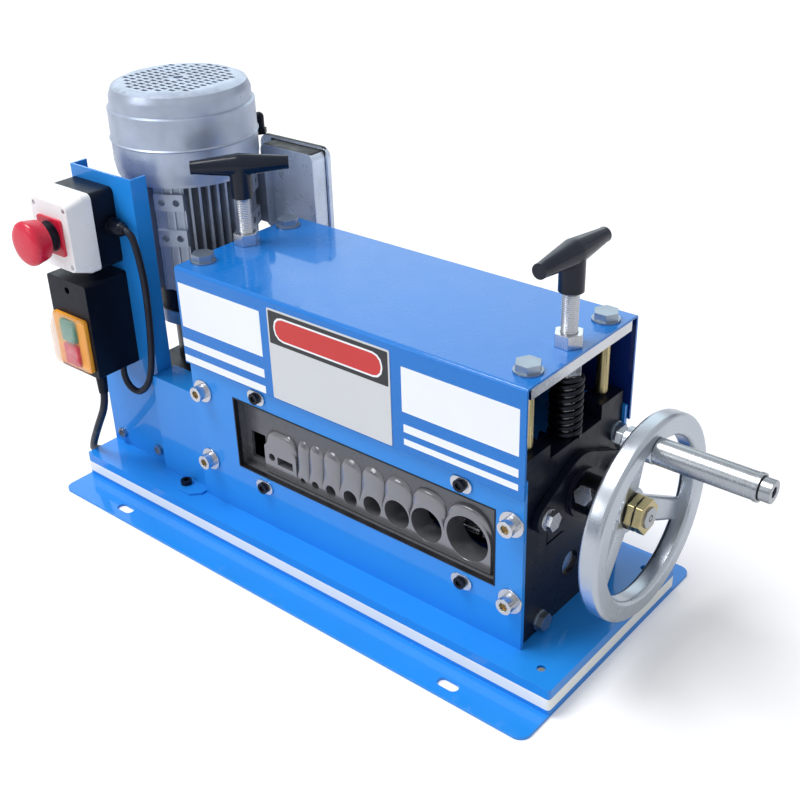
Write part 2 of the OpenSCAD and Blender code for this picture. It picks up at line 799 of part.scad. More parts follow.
// Cooling fan on the motor shaft
fan_share = 0.4127;
fan_r = fan_cover_d * fan_share;
fan_hub_r = 16;
fan_disc_t = 2.5;
fan_blade_h = 22;
fan_blades = 8;
fan_rise = 16;
fan_z = fan_z0 + fan_rise;
module cooling_fan() {
    color("dimgray") translate([motor_x, motor_y, 0]) {
        translate([0, 0, fan_z]) {
            cylinder(r = fan_r, h = fan_disc_t);
            cylinder(r = fan_hub_r, h = fan_blade_h);
            for (i = [0:fan_blades - 1]) rotate(360 * i / fan_blades)
                translate([fan_hub_r - over, -fan_disc_t / 2, fan_disc_t - over])
                cube([fan_r - fan_hub_r, fan_disc_t, fan_blade_h - fan_disc_t]);
        }
        translate([0, 0, body_z0 + clear]) cylinder(d = motor_shaft_d, h = fan_z + fan_blade_h - body_z0);
    }
}

// Terminal box behind the motor
body_in = 32;
body_l = 65;
body_t = 10.5;
lid_in = 16;
lid_l = 83.5;
lid_t = 11.5;
terminal_z = [214, 297];
terminal_rim = 2.5;
terminal_r = 9;
module terminal_plate(x, y, l, t, inset) {
    h = terminal_z[1] - terminal_z[0];
    translate([x + l / 2, y + t, terminal_z[0] + h / 2]) to_front()
        linear_extrude(t) round_rect(l, h - 2 * inset, terminal_r - inset);
}
module terminal_box() {
    color("silver") {
        terminal_plate(motor_x + body_in, seat_b[1], body_l, body_t, terminal_rim);
        terminal_plate(motor_x + lid_in, seat_b[1] + body_t - over, lid_l, lid_t, 0);
    }
}

// Stop box with its mushroom head, on the front of the post
stop_cap_y = post_y - stop_base_t;
stop_face_y = stop_cap_y - stop_cap_t;
box_r = 5;
module stop_box() {
    color("black") translate([stop_box_x, post_y, stop_box_z]) to_front()
        linear_extrude(stop_base_t) round_rect(stop_box_w - slide_gap, stop_box_h - slide_gap, box_r);
}
cap_draft = 2.5;
stop_cap_lip = 8;
stem_d = 16;
cap_screw_in = 7;
cap_screw_d = 4.5;
cap_screw_t = 1.2;
module stop_cap() {
    color("whitesmoke") translate([stop_box_x, stop_cap_y, stop_box_z]) to_front() difference() {
        union() {
            linear_extrude(stop_cap_lip) round_rect(stop_box_w, stop_box_h, box_r);
            hull() {
                translate([0, 0, stop_cap_lip - over]) linear_extrude(over)
                    round_rect(stop_box_w, stop_box_h, box_r, $fn = 24);
                translate([0, 0, stop_cap_t - over]) linear_extrude(over)
                    round_rect(stop_box_w - 2 * cap_draft, stop_box_h - 4 * cap_draft, box_r, $fn = 24);
            }
        }
        translate([0, 0, stop_cap_t - stem_hole_t])
            cylinder(d = stem_d + 2 * clear, h = stem_hole_t + over);
        for (i = [-1, 1], j = [-1, 1])
            translate([i * (stop_box_w / 2 - cap_screw_in),
                j * (stop_box_h / 2 - cap_screw_in - cap_draft), stop_cap_t - cap_screw_t])
            cylinder(d = cap_screw_d, h = cap_screw_t + over);
    }
}
stem_hole_t = 16;
stop_plate_w = 32;
stop_plate_t = 2.5;
collar_out = 7;
collar_r = 12;
module stop_plate() {
    color("crimson") translate([stop_box_x, stop_face_y, stop_box_z]) to_front() difference() {
        union() {
            linear_extrude(stop_plate_t) round_rect(stop_plate_w, stop_plate_w, stop_plate_t);
            cylinder(r = collar_r, h = collar_out);
        }
        translate([0, 0, -over]) cylinder(d = stem_d + 2 * clear, h = collar_out + 2 * over);
    }
}
stem_out = 15;
module stop_stem() {
    color("black") translate([stop_box_x, stop_face_y, stop_box_z]) to_front()
        translate([0, 0, mushroom_travel + clear - stem_hole_t])
            cylinder(d = stem_d, h = stem_hole_t + stem_out - mushroom_travel - clear);
}
mushroom_t = 17;
mushroom_round = 3.4;
mushroom_neck_d = 24;
module stop_mushroom() {
    r = mushroom_d / 2;
    n = mushroom_neck_d / 2;
    z0 = collar_out + mushroom_travel + clear;
    color("crimson") translate([stop_box_x, stop_face_y, stop_box_z]) to_front() translate([0, 0, z0])
        rotate_extrude()
        difference() {
            union() {
                square([n, mushroom_t]);
                translate([0, mushroom_t / 2]) square([r - mushroom_round, mushroom_t / 2]);
                translate([r - mushroom_round, mushroom_t - mushroom_round]) circle(mushroom_round);
            }
            translate([0, -over]) square([stem_d / 2 + clear / 2, stem_out - z0 + over + clear / 2]);
        }
}

// Switch box with its start and stop buttons under a soft clear boot
switch_face_y = post_y - switch_box_t;
key_frame_w = 44;
key_frame_h = 50;
key_z = 155.5;
key_frame_t = 4;
button_w = 19;
button_h = 20;
button_pitch = 22.5;
button_out = 3;
button_well = 9;
button_gap = 0.3;
module switch_cut(extra, depth, out) {
    for (j = [-1, 1]) translate([0, j * button_pitch / 2, -depth])
        linear_extrude(depth + out) square([button_w + 2 * extra, button_h + 2 * extra], center = true);
}
module at_switch() {
    translate([switch_box_x, switch_face_y, key_z]) to_front() children();
}
recess_d = 6;
recess_t = 6;
recess_down = 10;
module switch_box() {
    color("black") difference() {
        translate([switch_box_x, post_y, switch_box_z]) to_front()
            linear_extrude(switch_box_t) round_rect(switch_box_w, switch_box_h, box_r / 2);
        at_switch() switch_cut(button_gap, button_well, over);
        translate([switch_box_x, switch_face_y + recess_t,
            switch_box_z + switch_box_h / 2 - recess_down]) to_front()
            cylinder(d = recess_d, h = recess_t + over);
    }
}
module switch_frame() {
    color("gold") at_switch() difference() {
        linear_extrude(key_frame_t) round_rect(key_frame_w, key_frame_h, box_r / 2);
        switch_cut(button_gap, over, key_frame_t + over);
    }
}
module button_body(j) {
    at_switch() translate([0, j * button_pitch / 2, button_travel + clear - button_well])
        linear_extrude(button_well + button_out + key_frame_t - button_travel - clear)
        round_rect(button_w, button_h, button_out / 2);
}
module start_button() {
    color("green") button_body(1);
}
module stop_button() {
    color("red") button_body(-1);
}
boot_out = 13;
boot_t = 1;
module boot_shape(inset) {
    hull() {
        linear_extrude(over) round_rect(key_frame_w - 2 * inset, key_frame_h - 2 * inset, box_r, $fn = 24);
        translate([0, 0, boot_out - key_frame_t - inset - over]) linear_extrude(over)
            round_rect(key_frame_w - boot_out - 2 * inset, key_frame_h - boot_out - 2 * inset, box_r,
                $fn = 24);
    }
}
module dust_boot() {
    color("lightgray", 0.4) at_switch() translate([0, 0, key_frame_t]) difference() {
        boot_shape(0);
        translate([0, 0, -over / 2]) boot_shape(boot_t);
    }
}

// Glands: one on the stop box, short sleeves under the switch box
gland_d = 15;
gland_y = post_y - gland_d / 2 - clear;
gland_up = 2;
gland_z = stop_box_z + gland_up;
gland_l = 14;
gland_tip_l = 6;
gland_hex_t = 5;
sleeve_t = 2;
sleeve_wall = 1.5;
relief_l = 20;
motor_gland_in = 26;
motor_gland_d = 11;
motor_gland_h = 15;
link_in_across = 18.5;
link_in_x = switch_box_x + link_in_across;
link_in_y = -68;
lead_across = 14.5;
lead_x = switch_box_x + lead_across;
lead_y = -90;
gland_x = stop_box_x + stop_box_w / 2;
module lead_glands() {
    color("black") {
        translate([gland_x, gland_y, gland_z]) along_x() difference() {
            union() {
                rotate(30) cylinder(d = gland_d / cos(30), h = gland_hex_t, $fn = 6);
                cylinder(d = gland_d - sleeve_t, h = gland_l);
                translate([0, 0, gland_l])
                    cylinder(d1 = gland_d - sleeve_t, d2 = link_d + sleeve_wall, h = gland_tip_l);
            }
            translate([0, 0, gland_hex_t]) cylinder(d = link_d + 2 * clear, h = gland_l + gland_tip_l);
        }
        translate([motor_x + motor_gland_in, seat_b[1] + body_t + lid_t / 2 - over, terminal_z[1]]) {
            cylinder(d = motor_gland_d / cos(30), h = gland_hex_t, $fn = 6);
            cylinder(d = motor_gland_d - sleeve_t, h = motor_gland_h);
            translate([0, 0, motor_gland_h]) sphere(d = motor_gland_d - sleeve_t);
        }
        for (g = [[link_in_x, link_in_y, link_d, sleeve_t], [lead_x, lead_y, lead_d, relief_l]])
            translate([g[0], g[1], switch_box_z - switch_box_h / 2 - g[3]]) difference() {
                cylinder(d1 = g[2] + sleeve_wall, d2 = g[2] + 2 * sleeve_wall, h = g[3]);
                translate([0, 0, -over]) cylinder(d = g[2] + 2 * clear, h = g[3] + 2 * over);
            }
    }
}

// Lead between the two boxes: points along its middle, from the gland to the switch box
box_under_z = switch_box_z - switch_box_h / 2;
function moved(x, points) = [for (p = points) [x + p[0], p[1], p[2]]];
link_route = concat(
    moved(gland_x, [
        [5, gland_y, gland_z], [15, gland_y, gland_z], [21, gland_y, gland_z], [28, -62.8, 248],
        [32, -61.3, 215], [31, -61.2, 175], [27, -62.2, 135], [19, -63, 112], [8, -65, 101],
            [-2, -67, 103]]),
    [[link_in_x, link_in_y, 113], [link_in_x, link_in_y, box_under_z]]);
link_steps = 3;
module link_cable() {
    color("black") tube(smooth_path(link_route, link_steps), link_d, 8, [0, 1, 0]);
}

// Mains lead: down past the base, along the floor behind it, into a coil
coil_across = 96;
coil_x = lead_x + coil_across;
coil_y = 180;
coil_out_d = 100;
coil_turns = 2.5;
coil_rings = 24;
coil_pitch = lead_d + clear;
coil_layer_share = 0.98;
floor_share = 0.1;
floor_z = lead_d * (1 / 2 - floor_share);
coil_r = (coil_out_d - lead_d) / 2;
lead_route = moved(lead_x, [
    [0, lead_y, box_under_z], [0, lead_y, 114], [0, lead_y, 103], [-5, lead_y, 86], [-22, -88, 60],
    [-46, -80, 30], [-60, -70, 14], [-66, -50, floor_z], [-68, -10, floor_z], [-68, 60, floor_z],
    [-60, 110, floor_z], [-34, 135, floor_z], [11, 138, floor_z], [56, coil_y - coil_r, floor_z],
    [coil_across, coil_y - coil_r, floor_z]]);
lead_steps = 4;
lead_path = smooth_path(lead_route, lead_steps);
module mains_lead() {
    color("black") difference() {
        tube(lead_path, lead_d, 8, [0, 1, 0]);
        translate([-base_l, -base_l, -lead_d]) cube([2 * base_l, 2 * base_l, lead_d]);
    }
}

// Coil: in over the floor, up in the half turn where it reverses, out on top by as many turns
function coil_point(a) = let (
    whole = 360 * coil_turns,
    inward = min(a, whole), outward = max(a - whole - 180, 0),
    up = min(max((a - whole) / 180, 0), 1),
    r = coil_r - coil_pitch * (inward - outward) / 360,
    z = floor_z + lead_d * coil_layer_share * (1 - cos(180 * up)) / 2)
    [coil_x + r * cos(a - 90), coil_y + r * sin(a - 90), z];
coil_end = 360 * (2 * coil_turns) + 180;
tail_l = 32;
tail_steps = 3;
coil_path = concat([for (i = [0:coil_end * coil_rings / 360]) coil_point(i * 360 / coil_rings)],
    [for (k = [1:tail_steps]) coil_point(coil_end) - [tail_l * k / tail_steps, 0, 0]]);
module mains_coil() {
    color("black") difference() {
        tube(coil_path, lead_d, 6, [0, 0, 1]);
        translate([-base_l, -base_l, -lead_d]) cube([2 * base_l, 2 * base_l, lead_d]);
    }
}
lead_length = path_length(lead_path) + path_length(coil_path);
echo(lead_length = lead_length);

// Plug at the end of the coil, lying on it
plug_l = 38;
plug_w = 34;
plug_t = 18;
plug_tail_d = 12;
plug_tail_l = 16;
pin_d = 4.8;
pin_l = 19;
pin_pitch = 19;
module mains_plug() {
    end = coil_path[len(coil_path) - 1];
    color("black") translate(end) rotate([0, -90, 0]) {
        cylinder(d1 = lead_d + sleeve_wall, d2 = plug_tail_d, h = plug_tail_l);
        translate([0, 0, plug_tail_l]) linear_extrude(plug_l) round_rect(plug_t, plug_w, box_r);
    }
    color("silver") for (j = [-1, 1]) translate(end + [over - plug_tail_l - plug_l, j * pin_pitch / 2, 0])
        rotate([0, -90, 0]) cylinder(d = pin_d, h = pin_l + over);
}

// Carriage: the bearing blocks that slide up in the frames, and the outer flange bearing
bearing_bore_d = shaft_d + 2 * run_gap;
module bearing_blocks() {
    half = guide_slot_w / 2 - slide_gap;
    color("silver") for (i = [0, 1]) let (x = i == 0 ? left_x : right_x) difference() {
        box([x - frame_t / 2, -half, block_z0], [x + frame_t / 2 + i * slide_gap, half, block_top_z]);
        translate([x - frame_t, 0, cutter_z]) along_x() cylinder(d = bearing_bore_d, h = 2 * frame_t);
    }
}
flange_x = right_x + frame_t / 2 + slide_gap;
flange_mid_d = 60;
flange_end_d = 23;
boss_d = 38;
boss_t = 3;
module bearing_flange() {
    color("darkslategray") translate([flange_x, 0, cutter_z]) along_x() difference() {
        union() {
            linear_extrude(flange_t) {
                circle(d = flange_mid_d);
                for (j = [-1, 1]) {
                    translate([j * (flange_half_l - flange_end_d / 2), 0]) circle(d = flange_end_d);
                    flange_web(j);
                }
            }
            cylinder(d = boss_d, h = flange_t + boss_t);
        }
        translate([0, 0, -over]) cylinder(d = bearing_bore_d, h = flange_t + boss_t + 2 * over);
        for (j = [-1, 1]) translate([j * flange_pitch / 2, 0, -over])
            cylinder(d = m8_d + 2 * bolt_gap, h = flange_t + 2 * over);
    }
}

// The straight sides of the flange: the common tangents of its middle and end circles
module flange_web(side) {
    far = flange_half_l - flange_end_d / 2;
    a = acos((flange_mid_d - flange_end_d) / 2 / far);
    polygon([for (c = [[0, flange_mid_d / 2], [side * far, flange_end_d / 2]], k = [1, -1])
        let (s = c[0] == 0 ? k : -k) [c[0] + side * c[1] * cos(a), s * c[1] * sin(a)]]);
}
module flange_bolts() {
    color("silver") for (j = [-1, 1]) translate([flange_x + flange_t, j * flange_pitch / 2, cutter_z])
        along_x()
        hex_bolt(m8_d, m8_af, m8_head_t, flange_t + slide_gap + frame_t / 2 - over);
}

// Cutter shaft and what turns with it
collar_x = flange_x + flange_t + boss_t + clear;
collar_w = 18;
hub_x0 = collar_x + collar_w;
hub_w = 20;
wheel_x1 = hub_x0 + hub_w;
rim_out = 10;
thread_d = 16;
wheel_nut_af = 27;
wheel_nut_t = 6.5;
thread_out = 2;
module cutter_shaft() {
    end = wheel_x1 + 2 * wheel_nut_t + thread_out;
    color("silver") translate([0, 0, cutter_z]) {
        translate([shaft_left_x, 0, 0]) along_x() cylinder(d = shaft_d, h = wheel_x1 - shaft_left_x);
        translate([wheel_x1, 0, 0]) along_x() cylinder(d = thread_d, h = end - wheel_x1);
    }
}
module cutters() {
    color("gainsboro") for (c = channels) translate([c[0] - cutter_t / 2, 0, cutter_z]) along_x()
        difference() {
        cylinder(r = cutter_r(c), h = cutter_t);
        translate([0, 0, -over]) cylinder(d = shaft_d, h = cutter_t + 2 * over);
    }
}
spacer_d = 32;
module tube_between(x0, x1) {
    translate([x0, 0, cutter_z]) along_x() difference() {
        cylinder(d = spacer_d, h = x1 - x0);
        translate([0, 0, -over]) cylinder(d = shaft_d, h = x1 - x0 + 2 * over);
    }
}
spacer_gap = 3;
module cutter_spacers() {
    last = len(channels) - 1;
    color("gray") {
        tube_between(left_x + frame_t / 2 + spacer_gap, channels[0][0] - cutter_t / 2);
        for (i = [0:last - 1])
            tube_between(channels[i][0] + cutter_t / 2, channels[i + 1][0] - cutter_t / 2);
        tube_between(channels[last][0] + cutter_t / 2, gear_x);
    }
}

// Involute gear teeth, the same on both gears
pressure = 20;
flank_points = 4;
function involute(a) = tan(a) * 180 / PI - a;
module gear_profile(phase) {
    rp = gear_module * gear_teeth / 2;
    rb = rp * cos(pressure);
    tip = rp + gear_tip_share * gear_module;
    root = rp - gear_root_share * gear_module;
    half_p = 90 / gear_teeth - gear_backlash / 2 / rp * 180 / PI / 2;
    function half_at(r) = half_p + involute(pressure) - involute(acos(rb / r));
    flank = [for (k = [0:flank_points]) let (r = rb + (tip - rb) * k / flank_points) [r, half_at(r)]];
    tooth = concat([[root, half_at(rb)]], flank);
    n = len(tooth);
    polygon([for (i = [0:gear_teeth - 1], k = [0:2 * n - 1])
        let (q = k < n ? tooth[k] : tooth[2 * n - 1 - k],
            a = phase + 360 * i / gear_teeth + (k < n ? -q[1] : q[1]))
            [q[0] * cos(a), q[0] * sin(a)]]);
}
module gear(z, phase) {
    translate([gear_x, 0, z]) along_x() difference() {
        linear_extrude(gear_t) gear_profile(phase);
        translate([0, 0, -over]) cylinder(d = shaft_d, h = gear_t + 2 * over);
    }
}
module cutter_gear() {
    color("darkgray") gear(cutter_z, -90);
}
set_screw_x = 8.5;
set_screw_tilt = 30;
set_screw_af = 13;
set_screw_t = 6;
module shaft_collar() {
    color("dimgray") translate([collar_x, 0, cutter_z]) {
        along_x() difference() {
            cylinder(d = collar_d, h = collar_w);
            translate([0, 0, -over]) cylinder(d = shaft_d, h = collar_w + 2 * over);
        }
        translate([set_screw_x, 0, 0]) rotate([90 - set_screw_tilt, 0, 0])
            translate([0, 0, collar_d / 2 - over])
            cylinder(d = set_screw_af / cos(30), h = set_screw_t + over, $fn = 6);
    }
}

// Hand wheel: round-edged rim, three flat spokes that widen towards the hub
rim_edge_r = 4.5;
spoke_t = 7;
spoke_out = 1.3;
spoke_turn = 6;
spoke_flare = 4;
module hand_wheel() {
    r1 = wheel_d / 2;
    r0 = r1 - rim_band;
    hub_r = wheel_hub_d / 2;
    color("silver") translate([wheel_x1, 0, cutter_z]) along_x() difference() {
        union() {
            translate([0, 0, rim_out - wheel_rim_w]) rotate_extrude($fn = 96)
                translate([(r0 + r1) / 2, wheel_rim_w / 2]) round_rect(rim_band, wheel_rim_w, rim_edge_r);
            for (i = [0:spokes - 1]) rotate(crank_angle + spoke_turn + 360 * i / spokes)
                translate([0, 0, spoke_out - spoke_t]) linear_extrude(spoke_t)
                polygon([[0, -spoke_w / 2 - spoke_flare], [r0 + over, -spoke_w / 2],
                    [r0 + over, spoke_w / 2], [0, spoke_w / 2 + spoke_flare]]);
            translate([0, 0, -hub_w]) cylinder(r = hub_r, h = hub_w);
            rotate(crank_angle) translate([crank_r, 0, spoke_out - spoke_t])
                cylinder(d = crank_boss_d, h = sleeve_x0 - clear - spoke_face_x + spoke_t);
        }
        translate([0, 0, -hub_w - over]) cylinder(d = shaft_d, h = hub_w + 2 * over);
        cylinder(r = hub_r, h = spoke_out + over);
        rotate(crank_angle) translate([crank_r, 0, -hub_w]) cylinder(d = m8_d, h = hub_w + sleeve_out + over);
    }
}
module wheel_nuts() {
    color("gold") for (i = [0, 1])
        translate([wheel_x1 + i * (wheel_nut_t + clear), 0, cutter_z]) along_x() difference() {
        cylinder(d = wheel_nut_af / cos(30), h = wheel_nut_t, $fn = 6);
        translate([0, 0, -over]) cylinder(d = thread_d, h = wheel_nut_t + 2 * over);
    }
}

// Crank handle: a shoulder bolt through one spoke, with a sleeve that turns on it
pin_nut_t = 6;
spoke_face_x = wheel_x1 + spoke_out;
sleeve_out = 18.3;
sleeve_x0 = wheel_x1 + sleeve_out;
crank_boss_d = 20;
pin_head_d = 16;
pin_head_t = 8;
module at_crank(x) {
    translate([x, 0, cutter_z]) along_x() rotate(crank_angle) translate([crank_r, 0, 0]) children();
}
module crank_pin() {
    color("silver") {
        at_crank(spoke_face_x - spoke_t - pin_nut_t) {
            rotate(30) cylinder(d = m8_af / cos(30), h = pin_nut_t, $fn = 6);
            cylinder(d = m8_d, h = sleeve_x0 + sleeve_l + clear + over - spoke_face_x + spoke_t + pin_nut_t);
        }
        at_crank(sleeve_x0 + sleeve_l + clear) difference() {
            cylinder(d = pin_head_d, h = pin_head_t);
            translate([0, 0, pin_head_t * socket_share]) cylinder(d = m8_d, h = pin_head_t, $fn = 6);
        }
    }
}
sleeve_end = 3;
module crank_sleeve() {
    color("silver") at_crank(sleeve_x0) difference() {
        union() {
            cylinder(d = sleeve_d, h = sleeve_l);
            translate([0, 0, sleeve_l - sleeve_end]) cylinder(d = sleeve_d + over, h = sleeve_end);
        }
        translate([0, 0, -over]) cylinder(d = m8_d + 2 * run_gap, h = sleeve_l + 2 * over);
    }
}

// Feed shaft and its knurled rollers, geared to the cutter shaft
feed_in = 30;
feed_recess = 3;
module feed_shaft() {
    x0 = motor_x + gearbox_w / 2 - feed_in;
    color("silver") translate([x0, 0, feed_z]) along_x()
        cylinder(d = shaft_d, h = right_x + frame_t / 2 - feed_recess - x0);
}
knurls = 28;
knurl_depth = 0.8;
roller_over = 0.5;
module feed_rollers() {
    color("gray") for (c = channels) let (w = c[1] + 2 * roller_over)
        translate([c[0] - w / 2, 0, feed_z]) along_x() difference() {
            linear_extrude(w) polygon([for (i = [0:2 * knurls - 1])
                (roller_d / 2 - (i % 2) * knurl_depth) * [cos(180 * i / knurls), sin(180 * i / knurls)]]);
            translate([0, 0, -over]) cylinder(d = shaft_d, h = w + 2 * over);
        }
}
module feed_gear() {
    color("darkgray") gear(feed_z, 90 + 180 / gear_teeth);
}

// Adjusting screws with their T handles
screw_short = 8;
screw_top_z = handle_z - screw_short;
neck_d = 18;
neck_z = 283;
bar_end_r = 5.5;
bar_mid_r = 9.5;
bar_end_l = 3;
left_bar_angle = 46;
right_bar_angle = 90;
module stud(x) {
    translate([x, 0, block_top_z + clear]) cylinder(d = screw_d, h = screw_top_z - block_top_z - clear);
}
module t_handle(x, angle) {
    translate([x, 0, 0]) difference() {
        union() {
            translate([0, 0, neck_z]) cylinder(d = neck_d, h = handle_z - neck_z);
            translate([0, 0, handle_z]) rotate(angle) for (side = [-1, 1]) rotate([0, side * 90, 0]) {
                cylinder(r1 = bar_mid_r, r2 = bar_end_r, h = handle_l / 2 - bar_end_l);
                cylinder(r = bar_end_r, h = handle_l / 2);
            }
        }
        translate([0, 0, neck_z - over]) cylinder(d = screw_d, h = screw_top_z - neck_z + over);
    }
}
module screw_left() {
    color("silver") stud(left_x);
}
module screw_right() {
    color("silver") stud(right_x);
}
module handle_left() {
    color("black") t_handle(left_x, left_bar_angle);
}
module handle_right() {
    color("black") t_handle(right_x, right_bar_angle);
}

base_tray();
end_frame_left();
end_frame_right();
front_plate();
rear_plate();
top_bars();
standoff_pins();
top_cover();
cover_bolts();
plate_bolts();
wire_guide();
guide_washers();
guide_screws();
switch_post();
small_screws();
side_bracket();
feed_bushes();
screw_nuts();
springs();
gearbox();
motor_flange();
motor_adaptor();
motor_body();
fan_cover();
terminal_box();
stop_box();
stop_cap();
stop_plate();
switch_box();
switch_frame();
dust_boot();
lead_glands();
link_cable();
bearing_blocks();
bearing_flange();
flange_bolts();
cutter_shaft();
cutters();
cutter_spacers();
cutter_gear();
shaft_collar();
hand_wheel();
wheel_nuts();
crank_pin();
crank_sleeve();
feed_shaft();
feed_rollers();
feed_gear();
screw_left();
screw_right();
handle_left();
handle_right();
cooling_fan();
stop_stem();
stop_mushroom();
start_button();
stop_button();
mains_lead();
mains_coil();
mains_plug();
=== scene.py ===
"""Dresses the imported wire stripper: camera, light, finishes, leads and the fine pieces."""

import json
import math

import bmesh
import bpy
from mathutils import Matrix, Vector


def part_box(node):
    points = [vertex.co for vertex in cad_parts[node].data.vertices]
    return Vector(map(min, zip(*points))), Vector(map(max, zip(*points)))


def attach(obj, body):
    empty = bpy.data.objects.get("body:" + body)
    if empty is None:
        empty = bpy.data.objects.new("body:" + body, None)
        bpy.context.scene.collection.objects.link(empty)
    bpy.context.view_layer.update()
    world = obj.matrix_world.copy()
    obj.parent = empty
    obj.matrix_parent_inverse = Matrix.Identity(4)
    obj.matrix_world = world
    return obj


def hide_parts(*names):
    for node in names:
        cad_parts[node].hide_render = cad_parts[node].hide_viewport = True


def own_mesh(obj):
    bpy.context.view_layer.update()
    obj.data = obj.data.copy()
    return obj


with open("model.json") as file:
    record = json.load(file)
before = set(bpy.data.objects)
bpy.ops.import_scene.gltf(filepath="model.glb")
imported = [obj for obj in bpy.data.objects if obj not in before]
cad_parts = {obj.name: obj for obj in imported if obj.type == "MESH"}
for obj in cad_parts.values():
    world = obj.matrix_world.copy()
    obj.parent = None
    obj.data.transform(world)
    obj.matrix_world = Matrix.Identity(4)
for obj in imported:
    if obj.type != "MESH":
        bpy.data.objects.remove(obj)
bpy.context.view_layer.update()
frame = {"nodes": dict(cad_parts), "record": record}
nodes = frame["nodes"]
BODY_OF = {name: body for body, members in frame["record"]["behaviour"]["bodies"].items() for name in members}
SLOT_OF = {row["node"]: row["material_slot"] for row in frame["record"]["subparts"]}

MM = 0.001

# Camera, from the lines of the tray and the housing
CAMERA_AT = (583.9, -616.6, 604.8)
AZIMUTH, ELEVATION, ROLL = 40.66, 29.35, -1.82
FOCAL_PX, IMAGE_PX, SENSOR = 1174.84, 800, 36

# Places that the pieces share with the part's source, in millimetres
BASE_L, BASE_D = 520, 180
COVER_Y, COVER_TOP = 70, 243
LEFT_X, RIGHT_X = -108, 207
CUTTER_Z = 130
MOTOR_X, MOTOR_Y = -208, 30
STOP_X, STOP_Z, STOP_FACE_Y = -232, 254, -102


def make_camera():
    a, e, roll = (math.radians(v) for v in (AZIMUTH, ELEVATION, ROLL))
    back = Vector((math.sin(a) * math.cos(e), -math.cos(a) * math.cos(e), math.sin(e)))
    right = Vector((math.cos(a), math.sin(a), 0))
    up = back.cross(right)
    side = math.cos(roll) * right + math.sin(roll) * up
    top = math.cos(roll) * up - math.sin(roll) * right
    data = bpy.data.cameras.new("camera")
    data.sensor_width = SENSOR
    data.lens = FOCAL_PX * SENSOR / IMAGE_PX
    data.clip_start, data.clip_end = 0.05, 20
    camera = bpy.data.objects.new("camera", data)
    turn = Matrix((side, top, back)).transposed().to_4x4()
    camera.matrix_world = Matrix.Translation(Vector(CAMERA_AT) * MM) @ turn
    bpy.context.scene.collection.objects.link(camera)
    bpy.context.scene.camera = camera


make_camera()
bpy.context.scene.view_settings.view_transform = "Standard"


# Finishes


class Finish:
    """A material under construction: its node tree, its shader and the coordinates of the piece."""

    def __init__(self, name, colour, metallic=0.0, roughness=0.5, **sockets):
        self.material = bpy.data.materials.new(name)
        self.material.use_nodes = True
        self.tree = self.material.node_tree
        self.shader = self.tree.nodes["Principled BSDF"]
        self.colour = colour
        self.set("Base Color", (*colour, 1))
        self.set("Metallic", metallic)
        self.set("Roughness", roughness)
        for socket, value in sockets.items():
            self.set(socket.replace("_", " "), value)
        self.coordinates = self.tree.nodes.new("ShaderNodeTexCoord").outputs["Object"]
        self.height = None

    def set(self, socket, value):
        self.shader.inputs[socket].default_value = value

    def node(self, kind, **inputs):
        made = self.tree.nodes.new(kind)
        for socket, value in inputs.items():
            made.inputs[socket].default_value = value
        return made

    def join(self, source, target):
        self.tree.links.new(source, target)

    def mapped(self, stretch):
        mapping = self.node("ShaderNodeMapping", Scale=stretch)
        self.join(self.coordinates, mapping.inputs["Vector"])
        return mapping.outputs["Vector"]

    def noise(self, scale, detail=3.0, stretch=(1, 1, 1)):
        noise = self.node("ShaderNodeTexNoise", Scale=scale, Detail=detail)
        self.join(self.mapped(stretch), noise.inputs["Vector"])
        return noise.outputs["Fac"]

    def cells(self, scale):
        cells = self.node("ShaderNodeTexVoronoi", Scale=scale)
        self.join(self.mapped((1, 1, 1)), cells.inputs["Vector"])
        return cells.outputs["Distance"]

    def rough(self, source, low, high):
        """Runs the roughness from low to high where the source rises."""
        ranged = self.node("ShaderNodeMapRange")
        for socket, value in (("From Min", 0.3), ("From Max", 0.7), ("To Min", low), ("To Max", high)):
            ranged.inputs[socket].default_value = value
        self.join(source, ranged.inputs["Value"])
        self.join(ranged.outputs["Result"], self.shader.inputs["Roughness"])

    def tint(self, source, other):
        """Runs the colour from the base to another one where the source rises."""
        ramp = self.tree.nodes.new("ShaderNodeValToRGB")
        low, high = ramp.color_ramp.elements
        low.position, high.position = 0.3, 0.7
        low.color, high.color = (*self.colour, 1), (*other, 1)
        self.join(source, ramp.inputs["Fac"])
        self.join(ramp.outputs["Color"], self.shader.inputs["Base Color"])

    def bump(self, source, depth, strength=1.0):
        """Adds relief, its depth in millimetres, to what the piece has already."""
        bump = self.node("ShaderNodeBump", Strength=strength, Distance=depth * MM)
        self.join(source, bump.inputs["Height"])
        if self.height is not None:
            self.join(self.height, bump.inputs["Normal"])
        self.height = bump.outputs["Normal"]
        self.join(self.height, self.shader.inputs["Normal"])
        return self


def shade(colour, factor):
    return tuple(min(c * factor, 1) for c in colour)


def paint(name, colour, roughness=0.32, coat=0.6):
    """Sprayed enamel: a clear gloss over a faint orange peel, with soft clouds in the colour."""
    finish = Finish(name, colour, roughness=roughness, Coat_Weight=coat, Coat_Roughness=0.05,
                    Specular_IOR_Level=0.15)
    finish.tint(finish.noise(9), shade(colour, 1.08))
    finish.rough(finish.noise(60), roughness - 0.04, roughness + 0.06)
    finish.bump(finish.noise(160, 2), 0.004)
    return finish.material


def bright_steel(name, colour=(0.62, 0.63, 0.66), roughness=0.25):
    """Plated or ground steel: clouds in its brightness, haze and hairline scratches."""
    finish = Finish(name, colour, metallic=1.0, roughness=roughness)
    finish.tint(finish.noise(40, 3), shade(colour, 1.08))
    finish.rough(finish.noise(90, 4), roughness - 0.05, roughness + 0.08)
    finish.bump(finish.noise(1800, 2, (1, 1, 0.15)), 0.003)
    return finish.material


